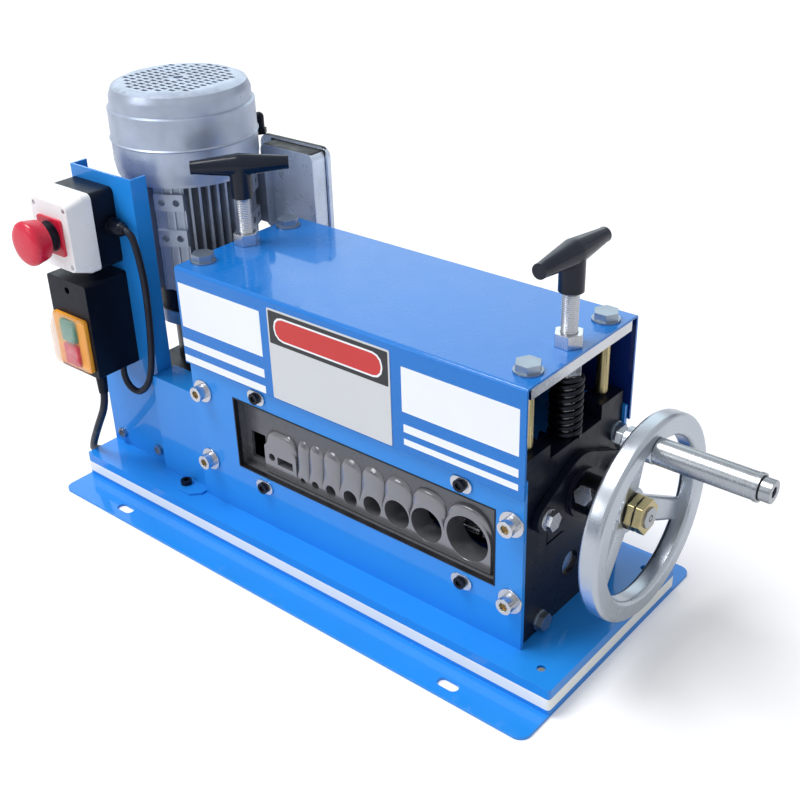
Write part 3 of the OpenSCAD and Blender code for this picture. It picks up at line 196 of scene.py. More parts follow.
def turned_steel(name, colour):
    """Steel turned about X, with fine rings across its axis."""
    finish = Finish(name, colour, metallic=1.0, roughness=0.26)
    finish.tint(finish.noise(40, 3, (6, 0.3, 0.3)), shade(colour, 1.05))
    finish.rough(finish.noise(90, 2, (6, 0.3, 0.3)), 0.25, 0.31)
    finish.bump(finish.noise(1500, 2, (1, 0.02, 0.02)), 0.0003, 0.3)
    return finish.material


def chrome(name):
    """Polished casting under satin plate: soft haze, a few dull spots and long gentle ripples."""
    finish = Finish(name, (0.47, 0.51, 0.56), metallic=1.0, roughness=0.3)
    finish.tint(finish.noise(14, 3), (0.54, 0.58, 0.64))
    finish.rough(finish.noise(45, 4), 0.24, 0.36)
    finish.bump(finish.noise(60, 2), 0.008).bump(finish.noise(900, 2), 0.002)
    return finish.material


def cast(name, colour, metallic, roughness, grain, specular=0.5):
    """Sand or die casting under thin paint: a pitted skin."""
    finish = Finish(name, colour, metallic=metallic, roughness=roughness, Specular_IOR_Level=specular)
    finish.tint(finish.noise(30, 4), shade(colour, 1.35))
    finish.rough(finish.noise(90, 4), roughness - 0.07, roughness + 0.1)
    finish.bump(finish.noise(grain, 4), 0.03).bump(finish.cells(grain / 2), 0.008)
    return finish.material


def plastic(name, colour, roughness=0.4, grain=700, depth=0.02, **sockets):
    """Moulded plastic with a fine spark-eroded grain."""
    finish = Finish(name, colour, roughness=roughness, **sockets)
    finish.tint(finish.noise(25), shade(colour, 1.1))
    finish.rough(finish.noise(80), roughness - 0.06, roughness + 0.08)
    finish.bump(finish.noise(grain, 2), depth)
    return finish.material


def rubber(name, colour):
    """Cable sheath: satin, with faint marks along it."""
    finish = Finish(name, colour, roughness=0.42, Specular_IOR_Level=0.35)
    finish.rough(finish.noise(120, 4), 0.36, 0.56)
    finish.bump(finish.noise(600, 3), 0.02)
    return finish.material


def clear_boot(name):
    """Soft clear silicone with a warm cast, a little milky where it is thick."""
    finish = Finish(name, (0.97, 0.90, 0.88), roughness=0.12, Transmission_Weight=0.9, IOR=1.35, Alpha=0.28)
    finish.tint(finish.noise(40), (0.93, 0.93, 0.95))
    finish.rough(finish.noise(150), 0.06, 0.22)
    finish.bump(finish.noise(90), 0.08)
    return finish.material


def vinyl(name, colour):
    """Printed film: flat colour, slightly uneven where it was pressed on."""
    finish = Finish(name, colour, roughness=0.35, Coat_Weight=0.2, Coat_Roughness=0.2)
    finish.tint(finish.noise(14), shade(colour, 0.96))
    finish.rough(finish.noise(40), 0.30, 0.43)
    finish.bump(finish.noise(35), 0.03)
    return finish.material


# A finish for each slot, and after them those of single pieces
M = {
    "machine_blue": paint("machine_blue_enamel", (0.018, 0.255, 0.77)),
    "cover_blue": paint("cover_blue_enamel", (0.004, 0.175, 0.60), 0.28, 0.65),
    "frame_black": cast("black_painted_casting", (0.004, 0.006, 0.015), 0.0, 0.32, 300, 0.22),
    "bright_steel": bright_steel("bright_zinc"),
    "tool_steel": bright_steel("ground_tool_steel", (0.45, 0.45, 0.47), 0.22),
    # Also painted shade on the feed shaft's end and its bushes, in the frame's deep holes.
    "black_steel": bright_steel("black_oxide_and_painted_shade", (0.028, 0.030, 0.038), 0.32),
    "yellow_zinc": bright_steel("yellow_zinc", (0.52, 0.44, 0.24), 0.28),
    "cast_aluminium": cast("machined_aluminium", (0.60, 0.61, 0.63), 1.0, 0.35, 800),
    "silver_paint": cast("silver_painted_casting", (0.37, 0.42, 0.52), 0.5, 0.34, 420),
    "chrome_plate": chrome("satin_plate"),
    # The wire guide's body and floor take this darker grey: painted shade beside the hoods' lighter copy.
    "moulded_grey": plastic("moulded_grey", (0.115, 0.120, 0.132), 0.24, 500, 0.006),
    "black_plastic": plastic("black_moulding", (0.003, 0.005, 0.013), 0.34, 500, 0.008,
                             Specular_IOR_Level=0.2),
    "black_gloss": plastic("black_gloss_moulding", (0.004, 0.008, 0.020), 0.22, 200, 0.004,
                           Specular_IOR_Level=0.35),
    "white_plastic": plastic("white_moulding", (0.88, 0.88, 0.90), 0.30),
    "red_plastic": plastic("red_moulding", (0.62, 0.012, 0.045), 0.26, 300, 0.006),
    "yellow_plastic": plastic("yellow_moulding", (0.90, 0.38, 0.03), 0.36),
    "green_plastic": plastic("green_moulding", (0.07, 0.26, 0.19), 0.34),
    "clear_boot": clear_boot("clear_silicone"),
    "cable_sheath": rubber("black_sheath", (0.006, 0.008, 0.020)),
}
TURNED = turned_steel("turned_steel", (0.40, 0.42, 0.45))
# Navy for the cover's inner faces: painted shade, darker than the blue outside.
COVER_INSIDE_SHADE = paint("navy_painted_shade", (0.004, 0.022, 0.170), 0.45)
FILM = vinyl("white_film", (0.92, 0.95, 0.99))
FILM_BAND = vinyl("band_film", (0.99, 0.99, 0.94))
FILM_DARK = vinyl("dark_film", (0.010, 0.010, 0.014))
FILM_GREY = vinyl("grey_film", (0.66, 0.68, 0.70))
FILM_RED = vinyl("red_film", (0.62, 0.020, 0.018))
# A lighter, glossier copy of the guide's grey for its hoods: painted light.
GUIDE_GREY_LIT = plastic("guide_grey_painted_light", (0.22, 0.22, 0.24), 0.18, 500, 0.004, Metallic=0.45,
                    Coat_Weight=0.9, Coat_Roughness=0.05)
HEAD_ZINC = bright_steel("dull_zinc", (0.33, 0.38, 0.44), 0.36)
# Black rubber for the strap, the window's edging and the joints; also the dark disc on the shaft's end,
# painted shade, and the terminal box's dark top.
DARK_RUBBER_AND_SHADE = rubber("black_rubber_and_painted_shade", (0.008, 0.008, 0.010))
BOX_SILVER = cast("silver_painted_box", (0.56, 0.63, 0.76), 0.5, 0.30, 420)
# Dark grey casting for the motor's fin roots between the fins: painted shade.
FIN_ROOT_SHADE = cast("painted_fin_root_shade", (0.10, 0.11, 0.13), 0.5, 0.5, 420)
GOLD = bright_steel("gilt_socket", (0.62, 0.44, 0.20), 0.34)


# Mesh helpers


def piece(name, bm, body, slot, replaces=(), material=None, sharp=32):
    """Turns a bmesh in millimetres into a finished piece that rides on a body."""
    bmesh.ops.scale(bm, vec=(MM, MM, MM), verts=bm.verts)
    return finished(name, bm, body, slot, replaces, material, sharp)


def weigh_normals(mesh, sharp):
    """Shades each corner by the areas of the faces round it, so that flats stay flat beside rounded edges."""
    limit = math.cos(math.radians(sharp))
    around = [[] for _ in mesh.vertices]
    shares = [(face.area, face.normal.copy()) for face in mesh.polygons]
    for face, share in zip(mesh.polygons, shares):
        for v in face.vertices:
            around[v].append(share)
    normals = []
    for face in mesh.polygons:
        for v in face.vertices:
            total = Vector()
            for area, normal in around[v]:
                if normal.dot(face.normal) > limit:
                    total += area * normal
            normals.append(total.normalized() if total.length else face.normal)
    mesh.normals_split_custom_set(normals)


def finished(name, bm, body, slot, replaces, material, sharp):
    """A shaded piece from a bmesh in metres, on its body and in the place of the nodes it replaces."""
    mesh = bpy.data.meshes.new(name)
    bm.to_mesh(mesh)
    bm.free()
    mesh.shade_smooth()
    mesh.set_sharp_from_angle(angle=math.radians(sharp))
    weigh_normals(mesh, sharp)
    obj = bpy.data.objects.new(name, mesh)
    bpy.context.scene.collection.objects.link(obj)
    mesh.materials.append(material or M[slot])
    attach(obj, body)
    if replaces:
        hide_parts(*replaces)
    return obj


def bevel(bm, edges, width, segments=2):
    bmesh.ops.bevel(bm, geom=edges, offset=width, offset_type="OFFSET", segments=segments, profile=0.5,
                    affect="EDGES", clamp_overlap=True, material=-1)


def softened(node, width, material=None, fitted=None):
    """A node's own shape with its faces joined and its edges rounded, as a real pressing or casting has."""
    bm = bmesh.new()
    bm.from_mesh(nodes[node].data)
    if fitted:
        for vert in bm.verts:
            vert.co = fitted(vert.co / MM) * MM
        bmesh.ops.dissolve_degenerate(bm, dist=0.005 * MM, edges=bm.edges)
    bmesh.ops.remove_doubles(bm, verts=bm.verts, dist=0.002 * MM)
    bmesh.ops.dissolve_limit(bm, angle_limit=math.radians(0.5), use_dissolve_boundaries=False,
                             verts=bm.verts, edges=bm.edges)
    if width:
        limit = math.radians(30)
        edges = [e for e in bm.edges if len(e.link_faces) == 2 and e.calc_face_angle() > limit]
        bevel(bm, edges, width * MM)
    return finished(f"{node}_finished", bm, BODY_OF[node], SLOT_OF[node], [node], material, 32)


def revolved(profile, centre, axis, steps):
    """Spins a profile of (radius, distance along the axis) points round a line along X, -Y or Z."""
    bm = bmesh.new()
    turn = {"X": Matrix.Rotation(math.pi / 2, 3, "Y"), "-Y": Matrix.Rotation(math.pi / 2, 3, "X"),
            "Z": Matrix.Identity(3)}[axis]
    verts = [bm.verts.new((r, 0, h)) for r, h in profile]
    edges = [bm.edges.new(pair) for pair in zip(verts, verts[1:])]
    bmesh.ops.spin(bm, geom=verts + edges, cent=(0, 0, 0), axis=(0, 0, 1), angle=math.tau, steps=steps,
                   use_merge=True)
    bmesh.ops.remove_doubles(bm, verts=bm.verts, dist=0.001)
    bmesh.ops.recalc_face_normals(bm, faces=bm.faces)
    bmesh.ops.rotate(bm, cent=(0, 0, 0), matrix=turn, verts=bm.verts)
    bmesh.ops.translate(bm, vec=centre, verts=bm.verts)
    return bm


def turn_about_x(bm, angle):
    turn = Matrix.Rotation(math.radians(angle), 3, "X")
    bmesh.ops.rotate(bm, cent=(0, 0, 0), matrix=turn, verts=bm.verts)


def slab(low, high, edge=0.0, segments=2):
    """A block between two corners, its edges rounded."""
    bm = bmesh.new()
    low, high = Vector(low), Vector(high)
    bmesh.ops.create_cube(bm, size=1)
    bmesh.ops.scale(bm, vec=high - low, verts=bm.verts)
    bmesh.ops.translate(bm, vec=(low + high) / 2, verts=bm.verts)
    if edge:
        bevel(bm, bm.edges[:], edge, segments)
    return bm


def rounded(low, high, corner_r, steps):
    """A rectangle's outline between two places, with each corner rounded in so many steps."""
    left, bottom = (v + corner_r for v in low)
    right, top = (v - corner_r for v in high)
    outline = []
    for x, y, start in ((right, top, 0), (left, top, 90), (left, bottom, 180), (right, bottom, 270)):
        for k in range(steps + 1):
            t = math.radians(start + 90 * k / steps)
            outline.append((x + corner_r * math.cos(t), y + corner_r * math.sin(t)))
    return outline


def skin(bm, near, far):
    """A band of faces between two closed rings of as many points."""
    for k in range(len(near)):
        n = (k + 1) % len(near)
        bm.faces.new((near[k], near[n], far[n], far[k]))


def joined(*parts):
    """One bmesh from several."""
    whole = bmesh.new()
    for part in parts:
        mesh = bpy.data.meshes.new("part")
        part.to_mesh(mesh)
        part.free()
        whole.from_mesh(mesh)
        bpy.data.meshes.remove(mesh)
    return whole


# Leads

LEAD_D, LINK_D = 7, 6
LEAD_EXIT = (-216, -90, 125)
FLOOR_Z = LEAD_D / 2
COIL_X, COIL_Y, COIL_R, COIL_PITCH, COIL_TURNS = -120, 180, 46.5, 7.3, 2.5
COIL_STEPS, ROUTE_STEPS, TAIL_STEPS = 36, 6, 4
LAYER_SHARE = 0.98
TAIL_L = 32
LEAD_ROUTE = [
    LEAD_EXIT, (-216, -90, 114), (-216, -90, 103), (-221, -90, 86), (-238, -88, 60), (-262, -80, 30),
    (-276, -70, 14), (-282, -50, FLOOR_Z), (-284, -10, FLOOR_Z), (-284, 60, FLOOR_Z), (-276, 110, FLOOR_Z),
    (-250, 135, FLOOR_Z), (-205, 138, FLOOR_Z), (-160, COIL_Y - COIL_R, FLOOR_Z),
    (COIL_X, COIL_Y - COIL_R, FLOOR_Z)]
LINK_ROUTE = [
    (-200, -63.3, 256), (-190, -63.3, 256), (-184, -63.3, 256), (-177, -62.8, 248), (-173, -61.3, 215),
    (-174, -61.2, 175), (-178, -62.2, 135), (-186, -63, 112), (-197, -65, 101), (-207, -67, 103),
    (-212, -68, 113), (-212, -68, 125)]

# The strap: its reach from the coil's middle, its top, thickness, half width and bends, and its fold's reach
TIE_R0, TIE_R1, TIE_TOP, TIE_T, TIE_HALF, TIE_BEND = 26.4, 48.3, 13.9, 0.8, 4.5, 3.2
FOLD_R0, FOLD_R1 = 31, 42

# The plug, from the lead's end: its grip, its body and its pins
GRIP = [(0, 0), (4.2, 0), (4.4, 2), (5.2, 9), (6.0, 15.5), (6.0, 17), (0, 17)]
PIN = [(0, -1), (2.4, -1), (2.4, 17), (1.6, 19), (0, 19)]
PLUG_FRONT, PLUG_BACK, PLUG_HALF_W, PLUG_HALF_H, PLUG_EDGE, PIN_Y = 15.5, 54, 17, 9, 3.5, 9.5


def spline(points):
    """A smooth line through the points: the same curve as in the part's source."""
    line = []
    last = len(points) - 1
    for i in range(last):
        a, b, c, d = (Vector(points[max(0, min(k, last))]) for k in (i - 1, i, i + 1, i + 2))
        for s in range(ROUTE_STEPS):
            t = s / ROUTE_STEPS
            line.append(0.5 * (2 * b + (c - a) * t + (2 * a - 5 * b + 4 * c - d) * t * t
                               + (3 * b - a - 3 * c + d) * t ** 3))
    return line + [Vector(points[-1])]


def coil_line():
    """In over the floor, up in half a turn, and out on top; then a straight tail to the plug."""
    whole = 360 * COIL_TURNS
    line = []
    for i in range(1, int((2 * COIL_TURNS + 0.5) * COIL_STEPS) + 1):
        a = i * 360 / COIL_STEPS
        inward, outward = min(a, whole), max(a - whole - 180, 0)
        up = min(max((a - whole) / 180, 0), 1)
        r = COIL_R - COIL_PITCH * (inward - outward) / 360
        t = math.radians(a - 90)
        z = FLOOR_Z + LAYER_SHARE * LEAD_D * (1 - math.cos(math.pi * up)) / 2
        line.append(Vector((COIL_X + r * math.cos(t), COIL_Y + r * math.sin(t), z)))
    end = line[-1]
    return line + [end - Vector((TAIL_L * k / TAIL_STEPS, 0, 0)) for k in range(1, TAIL_STEPS + 1)]


def sheath(name, line, diameter, replaced):
    """A round lead along a line of points in millimetres."""
    data = bpy.data.curves.new(name, "CURVE")
    data.dimensions = "3D"
    data.bevel_depth = diameter / 2 * MM
    data.bevel_resolution = 3
    data.use_fill_caps = True
    run = data.splines.new("POLY")
    run.points.add(len(line) - 1)
    for point, place in zip(run.points, line):
        point.co = (*(place * MM), 1)
    run.use_smooth = True
    obj = bpy.data.objects.new(name, data)
    bpy.context.scene.collection.objects.link(obj)
    data.materials.append(M["cable_sheath"])
    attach(obj, "machine")
    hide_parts(*replaced)
    return obj


def turned_back(bm, place):
    """Turns a shape that lies along X to face -X, and puts it in its place."""
    bmesh.ops.rotate(bm, cent=(0, 0, 0), matrix=Matrix.Rotation(math.pi, 3, "Z"), verts=bm.verts)
    bmesh.ops.translate(bm, vec=place, verts=bm.verts)
    return bm


def mains_plug(end):
    """The plug: a tapered grip and a rounded body, and its two pins."""
    grip = turned_back(revolved(GRIP, (0, 0, 0), "X", 24), end)
    body = slab(end - Vector((PLUG_BACK, PLUG_HALF_W, PLUG_HALF_H)),
                end + Vector((-PLUG_FRONT, PLUG_HALF_W, PLUG_HALF_H)), PLUG_EDGE, 4)
    pins = [turned_back(revolved(PIN, (0, 0, 0), "X", 20), end + Vector((-PLUG_BACK, y, 0)))
            for y in (-PIN_Y, PIN_Y)]
    return [piece("plug_body", joined(grip, body), "machine", "black_plastic", ["mains_plug"]),
            piece("plug_pins", joined(*pins), "machine", "bright_steel")]


def coil_tie():
    """A strap round the coil, where three turns lie on three, its end folded over."""
    bm = bmesh.new()
    rings = []
    for y, grow in ((-TIE_HALF, 0), (-TIE_HALF, TIE_T), (TIE_HALF, TIE_T), (TIE_HALF, 0)):
        outline = rounded((TIE_R0 - grow, TIE_T - grow), (TIE_R1 + grow, TIE_TOP + grow), TIE_BEND + grow, 6)
        rings.append([bm.verts.new((COIL_X + r, COIL_Y + y, z)) for r, z in outline])
    for near, far in zip(rings, rings[1:] + rings[:1]):
        skin(bm, near, far)
    bmesh.ops.recalc_face_normals(bm, faces=bm.faces)
    fold = slab((COIL_X + FOLD_R0, COIL_Y - TIE_HALF, TIE_TOP + TIE_T - 0.1),
                (COIL_X + FOLD_R1, COIL_Y + TIE_HALF, TIE_TOP + 2 * TIE_T), 0.3)
    return piece("coil_tie", joined(bm, fold), "machine", "black_plastic", material=DARK_RUBBER_AND_SHADE)


def mains_lead():
    """Down past the tray, along the bench and into a coil behind the machine."""
    line = spline(LEAD_ROUTE) + coil_line()
    for point in line:
        point.z = max(point.z, FLOOR_Z)
    lead = sheath("mains_lead_run", line, LEAD_D, ["mains_lead", "mains_coil"])
    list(mains_plug(line[-1]))
    coil_tie()


def link_cable():
    """The lead that hangs between the two boxes."""
    line = spline(LINK_ROUTE)
    lead = sheath("link_cable_run", line, LINK_D, ["link_cable"])


mains_lead()
link_cable()


# Stage

FLOOR_COLOUR, FLOOR_SIZE, FLOOR_GLOW = (0.80, 0.80, 0.81), (14, 14), 0.22
SKY_COLOUR, SKY_LIGHT = (0.95, 0.975, 1.0), 0.55
SKY_SEEN = {"Is Camera Ray": 1.0, "Is Transmission Ray": 1.0, "Is Glossy Ray": 0.68}


def plane(name, size, material):
    bm = bmesh.new()
    bmesh.ops.create_grid(bm, x_segments=1, y_segments=1, size=0.5)
    bmesh.ops.scale(bm, vec=(*size, 1), verts=bm.verts)
    mesh = bpy.data.meshes.new(name)
    bm.to_mesh(mesh)
    bm.free()
    mesh.materials.append(material)
    obj = bpy.data.objects.new(name, mesh)
    bpy.context.scene.collection.objects.link(obj)
    return obj


def make_floor():
    """A pale floor that keeps a soft shadow and otherwise looks white."""
    finish = Finish("pale_floor", FLOOR_COLOUR, roughness=0.9, Specular_IOR_Level=0.0)
    glow = finish.node("ShaderNodeEmission")
    path = finish.node("ShaderNodeLightPath")
    seen = finish.node("ShaderNodeMath")
    seen.operation = "MULTIPLY"
    seen.inputs[1].default_value = FLOOR_GLOW
    finish.join(path.outputs["Is Camera Ray"], seen.inputs[0])
    finish.join(seen.outputs["Value"], glow.inputs["Strength"])
    both = finish.node("ShaderNodeAddShader")
    finish.join(finish.shader.outputs["BSDF"], both.inputs[0])
    finish.join(glow.outputs["Emission"], both.inputs[1])
    finish.join(both.outputs["Shader"], finish.tree.nodes["Material Output"].inputs["Surface"])
    plane("floor", FLOOR_SIZE, finish.material)


def make_sky():
    """A dim sky, which the camera, clear pieces and reflections see brighter."""
    world = bpy.data.worlds.new("studio")
    bpy.context.scene.world = world
    world.use_nodes = True
    tree = world.node_tree
    background = tree.nodes["Background"]
    background.inputs["Color"].default_value = (*SKY_COLOUR, 1)
    rays = tree.nodes.new("ShaderNodeLightPath")
    strength = None
    for ray, level in SKY_SEEN.items():
        seen = tree.nodes.new("ShaderNodeMath")
        seen.operation = "MULTIPLY"
        seen.inputs[1].default_value = level
        tree.links.new(rays.outputs[ray], seen.inputs[0])
        most = tree.nodes.new("ShaderNodeMath")
        most.operation = "MAXIMUM"
        most.inputs[1].default_value = SKY_LIGHT
        tree.links.new(seen.outputs["Value"], most.inputs[0])
        if strength is not None:
            tree.links.new(strength, most.inputs[1])
        strength = most.outputs["Value"]
    tree.links.new(strength, background.inputs["Strength"])


def card(name, place, target, size, colour, strength=1.0):
    """A studio card, dark or glowing: only reflections see it."""
    finish = Finish(name, (0, 0, 0), roughness=1.0, Specular_IOR_Level=0.0, Emission_Strength=strength)
    finish.set("Emission Color", (*colour, 1))
    obj = plane(name, size, finish.material)
    turn = (Vector(target) - Vector(place)).to_track_quat("Z", "Y").to_matrix().to_4x4()
    obj.data.transform(Matrix.Translation(place) @ turn)
    obj.visible_camera = obj.visible_diffuse = obj.visible_shadow = obj.visible_transmission = False


def lamp(name, kind, place, target, power):
    data = bpy.data.lights.new(name, kind)
    data.energy = power
    obj = bpy.data.objects.new(name, data)
    obj.location = place
    obj.rotation_euler = (Vector(target) - Vector(place)).to_track_quat("-Z", "Y").to_euler()
    bpy.context.scene.collection.objects.link(obj)
    return data


make_floor()
make_sky()
lamp("soft_sun", "SUN", place=(-0.7, -0.5, 1.8), target=(0, 0, 0), power=2.1).angle = math.radians(28)
lamp("front_window", "AREA", place=(-0.9, -1.7, 0.9), target=(0, 0, 0.1), power=6).size = 0.8
card("card_front_left", place=(-0.5, -1.5, 0.4), target=(0.2, 0, 0.15), size=(1.1, 0.5),
     colour=(0.20, 0.24, 0.30))
card("card_low_right", place=(1.5, -0.9, 0.1), target=(0.1, 0, 0.15), size=(0.9, 0.3),
     colour=(0.12, 0.15, 0.20))
card("card_back", place=(0.2, 1.8, 0.7), target=(0, 0, 0.2), size=(1.2, 0.4), colour=(0.20, 0.22, 0.27))
card("glow_back_left", place=(-1.14, 1.32, 1.15), target=(0.05, 0, 0.2), size=(1.9, 1.2),
     colour=(0.85, 0.96, 1.0), strength=1.7)


# Pieces that keep the solids' form, and how wide their edges are rounded

EDGES = {
    "base_tray": 1.2, "front_plate": 0.5, "rear_plate": 0.5, "switch_post": 0.5, "side_bracket": 0.5,
    "end_frame_left": 0.6, "end_frame_right": 0.6, "top_bars": 0.5,
    "plate_bolts": 0.35, "guide_washers": 0.4, "guide_screws": 0.35,
    "screw_nuts": 0.5, "bearing_blocks": 0.6, "bearing_flange": 0.7, "flange_bolts": 0.35,
    "motor_flange": 0.8, "motor_adaptor": 0.8, "gearbox": 1.5, "fan_cover": 0.3,
    "cooling_fan": 0.5, "stop_box": 0.8, "stop_plate": 0.5, "switch_box": 0.8,
    "switch_frame": 0.6, "cutters": 0.3, "cutter_spacers": 0.3, "cutter_gear": 0.3,
    "feed_gear": 0.3, "feed_rollers": 0.15, "handle_left": 1.0, "handle_right": 1.0,
    "start_button": 1.2, "stop_button": 1.2, "standoff_pins": 0.3,
    "stop_cap": 0.6, "dust_boot": 0.0, "stop_stem": 0.3,
}
TURNED_EDGES = {"crank_pin": 0.5, "crank_sleeve": 0.5, "cutter_shaft": 0.8}

RIB_Y0, RIB_Y1, FLAT_Y = -60.2, -56, -55.5
SOLID_LID_Y, LID_Y = 96, 102.5
BOLT_Y, HEAD_STRETCH = 48.5, 1.28
GLAND_Z, GLAND_SHIFT = 296, 8
COVER_MIDDLE_Z = 150
FIN_ROOT_R, COLLAR_RIM_R = 48.6, 15.4
BRACKET_X, FEED_END_X, BOX_TOP_Z = -150, 215, 290


def flat_wall(place):
    """The guide's wall without its ribs: the hoods stand in their place."""
    if RIB_Y0 < place.y < RIB_Y1:
        place.y = FLAT_Y
    return place


def thin_lid(place):
    """The joint of the terminal box stands close behind its outer face."""
    if abs(place.y - SOLID_LID_Y) < 0.05:
        place.y = LID_Y
    return place


def larger_heads(place):
    """The cover's bolts have the broad heads of flanged bolts."""
    if place.z > COVER_TOP - 0.1:
        x = LEFT_X if place.x < (LEFT_X + RIGHT_X) / 2 else RIGHT_X
        axis = Vector((x, math.copysign(BOLT_Y, place.y), place.z))
        place = axis + HEAD_STRETCH * (place - axis)
    return place


def nearer_gland(place):
    """The terminal box's gland stands close beside the fan cover."""
    if place.z > GLAND_Z:
        place.x -= GLAND_SHIFT
    return place


def cover():
    """The folded cover, blue outside; its inner faces take a navy finish, painted shade."""
    mesh = softened("top_cover", 0.4).data
    mesh.materials.append(COVER_INSIDE_SHADE)
    for face in mesh.polygons:
        outwards = Vector((0, face.center.y, face.center.z - COVER_MIDDLE_Z * MM))
        if face.normal.dot(outwards) < 0 and abs(face.normal.x) < 0.5:
            face.material_index = 1


def two_tone(node, width, second, chosen, **options):
    """A softened node whose chosen faces take a second finish; the test gets places in millimetres."""
    mesh = softened(node, width, **options).data
    mesh.materials.append(second)
    for face in mesh.polygons:
        if chosen(face.center / MM, face.normal):
            face.material_index = 1


for name, width in EDGES.items():
    softened(name, width)
for name, width in TURNED_EDGES.items():
    softened(name, width, material=TURNED)
softened("wire_guide", 0.5, fitted=flat_wall)
softened("cover_bolts", 0.35, fitted=larger_heads, material=HEAD_ZINC)
softened("lead_glands", 0.4, fitted=nearer_gland)
# The feed bushes take black steel: painted shade for the deep holes they line.
softened("feed_bushes", 0.4, material=M["black_steel"])
cover()
# Faces near the motor's axis, down between the fins, take the dark grey: painted shade.
two_tone("motor_body", 0.35, FIN_ROOT_SHADE,
         lambda at, to: math.hypot(at.x - MOTOR_X, at.y - MOTOR_Y) < FIN_ROOT_R)
two_tone("small_screws", 0.3, M["black_steel"], lambda at, to: at.x > BRACKET_X, material=TURNED)
# The feed shaft's end past FEED_END_X takes black steel: painted shade in the frame's deep hole.
two_tone("feed_shaft", 0.5, M["black_steel"], lambda at, to: at.x > FEED_END_X)
# The box's upward faces above BOX_TOP_Z take the black rubber finish, so its top is dark.
two_tone("terminal_box", 1.6, DARK_RUBBER_AND_SHADE, lambda at, to: at.z > BOX_TOP_Z and to.z > 0.8,
         fitted=thin_lid, material=BOX_SILVER)
two_tone("shaft_collar", 0.5, M["bright_steel"],
         lambda at, to: math.hypot(at.y, at.z - CUTTER_Z) > COLLAR_RIM_R)


# Adjusting studs and springs

CREST_R, ROOT_R, THREAD_PITCH, FOOT_R, FOOT_H = 6.0, 5.55, 1.5, 4.95, 0.8
WIRE_D, SPRING_D, SPRING_Z0, SPRING_Z1 = 4.0, 21.0, 172.0, 222.0
CLOSED_TURNS, ACTIVE_TURNS, SPRING_STEPS = 1.0, 7.0, 28
END_SHARE, SQUASHED_SHARE = 0.35, 0.92


def stud(name, x, body):
    """A threaded stud with a chamfered foot."""
    low, high = (corner.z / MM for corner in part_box(name))
    z = low + FOOT_H
    profile = [(0, low), (FOOT_R, low), (ROOT_R, z)]
    while z + THREAD_PITCH < high:
        profile += [(CREST_R, z + THREAD_PITCH * 0.4), (CREST_R, z + THREAD_PITCH * 0.55),
                    (ROOT_R, z + THREAD_PITCH * 0.95)]
        z += THREAD_PITCH
    profile += [(ROOT_R, high), (0, high)]
    piece(f"{name}_thread", revolved(profile, (x, 0, 0), "Z", 32), body, SLOT_OF[name], [name], sharp=50)


def swept(line, radius, sides):
    """A closed tube along a line of points in millimetres."""
    bm = bmesh.new()
    rings = []
    side = Vector((1, 0, 0))
    for i, point in enumerate(line):
        ahead = (line[min(i + 1, len(line) - 1)] - line[max(i - 1, 0)]).normalized()
        side = (side - side.dot(ahead) * ahead).normalized()
        other = ahead.cross(side)
        turns = [math.tau * k / sides for k in range(sides)]
        rings.append([bm.verts.new(point + radius * (math.cos(t) * side + math.sin(t) * other))
                      for t in turns])
    for near, far in zip(rings, rings[1:]):
        skin(bm, near, far)
    bm.faces.new(rings[0][::-1])
    bm.faces.new(rings[-1])
    bmesh.ops.recalc_face_normals(bm, faces=bm.faces)
    return bm


def spring(x):
    """A coil spring with closed ends ground flat."""
    low, high = SPRING_Z0 + WIRE_D * END_SHARE, SPRING_Z1 - WIRE_D * END_SHARE
    rise = (SPRING_Z1 - SPRING_Z0 - WIRE_D - 2 * CLOSED_TURNS * WIRE_D) / ACTIVE_TURNS
    line, z = [], low
    for i in range(int((ACTIVE_TURNS + 2 * CLOSED_TURNS) * SPRING_STEPS) + 1):
        turn = i / SPRING_STEPS
        t = math.tau * turn
        line.append(Vector((x + SPRING_D / 2 * math.cos(t), SPRING_D / 2 * math.sin(t), z)))
        closed = turn < CLOSED_TURNS or turn >= CLOSED_TURNS + ACTIVE_TURNS
        z += (WIRE_D if closed else rise) / SPRING_STEPS
    scale = (high - low) / (line[-1].z - low)
    for point in line:
        point.z = low + (point.z - low) * scale
    bm = swept(line, WIRE_D / 2, 12)
    for vert in bm.verts:
        vert.co.z = min(max(vert.co.z, SPRING_Z0), SPRING_Z1)
    return bm


def springs():
    """Both springs in one piece with a mesh of its own, under the nuts above them."""
    coils = piece("coil_springs", joined(spring(LEFT_X), spring(RIGHT_X)), BODY_OF["springs"],
                  SLOT_OF["springs"], ["springs"], sharp=60)
    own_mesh(coils)


stud("screw_left", LEFT_X, "left_adjuster")
stud("screw_right", RIGHT_X, "right_adjuster")
springs()


# Films, plate and tray band: their reach in X and Z, finish, how far they stand out, and corner radius

FILMS = {
    "skirt_film_1": ((-117, -24), (191, 230), FILM, 0.12, 0.4),
    "skirt_film_2": ((-119, -24), (172.5, 180), FILM, 0.12, 0.4),
    "skirt_film_3": ((-119, -24), (158.5, 165), FILM, 0.12, 0.4),
    "skirt_film_4": ((116, 216), (191, 227), FILM, 0.12, 0.4),
    "skirt_film_5": ((117, 216), (174.5, 181), FILM, 0.12, 0.4),
    "skirt_film_6": ((117, 216), (164, 169), FILM, 0.12, 0.4),
    "plate_field": ((-15, 106), (158.6, 236), FILM_GREY, 0.5, 1.2),
    "plate_header": ((-13.5, 104.5), (207, 234.5), FILM_DARK, 0.6, 0.8),
    "plate_bar_edge": ((-8.5, 99.5), (210.5, 231), FILM, 0.65, 9),
    "plate_bar": ((-7, 98), (212, 229.5), FILM_RED, 0.7, 8),
}
FILM_SUNK, BAND_LIFT, BAND_CORNER_R = 0.05, 0.12, 2.5
BAND_LEVELS = [(0.1, 6.5), (0, 6.6), (0, 16.4), (0.1, 16.5)]


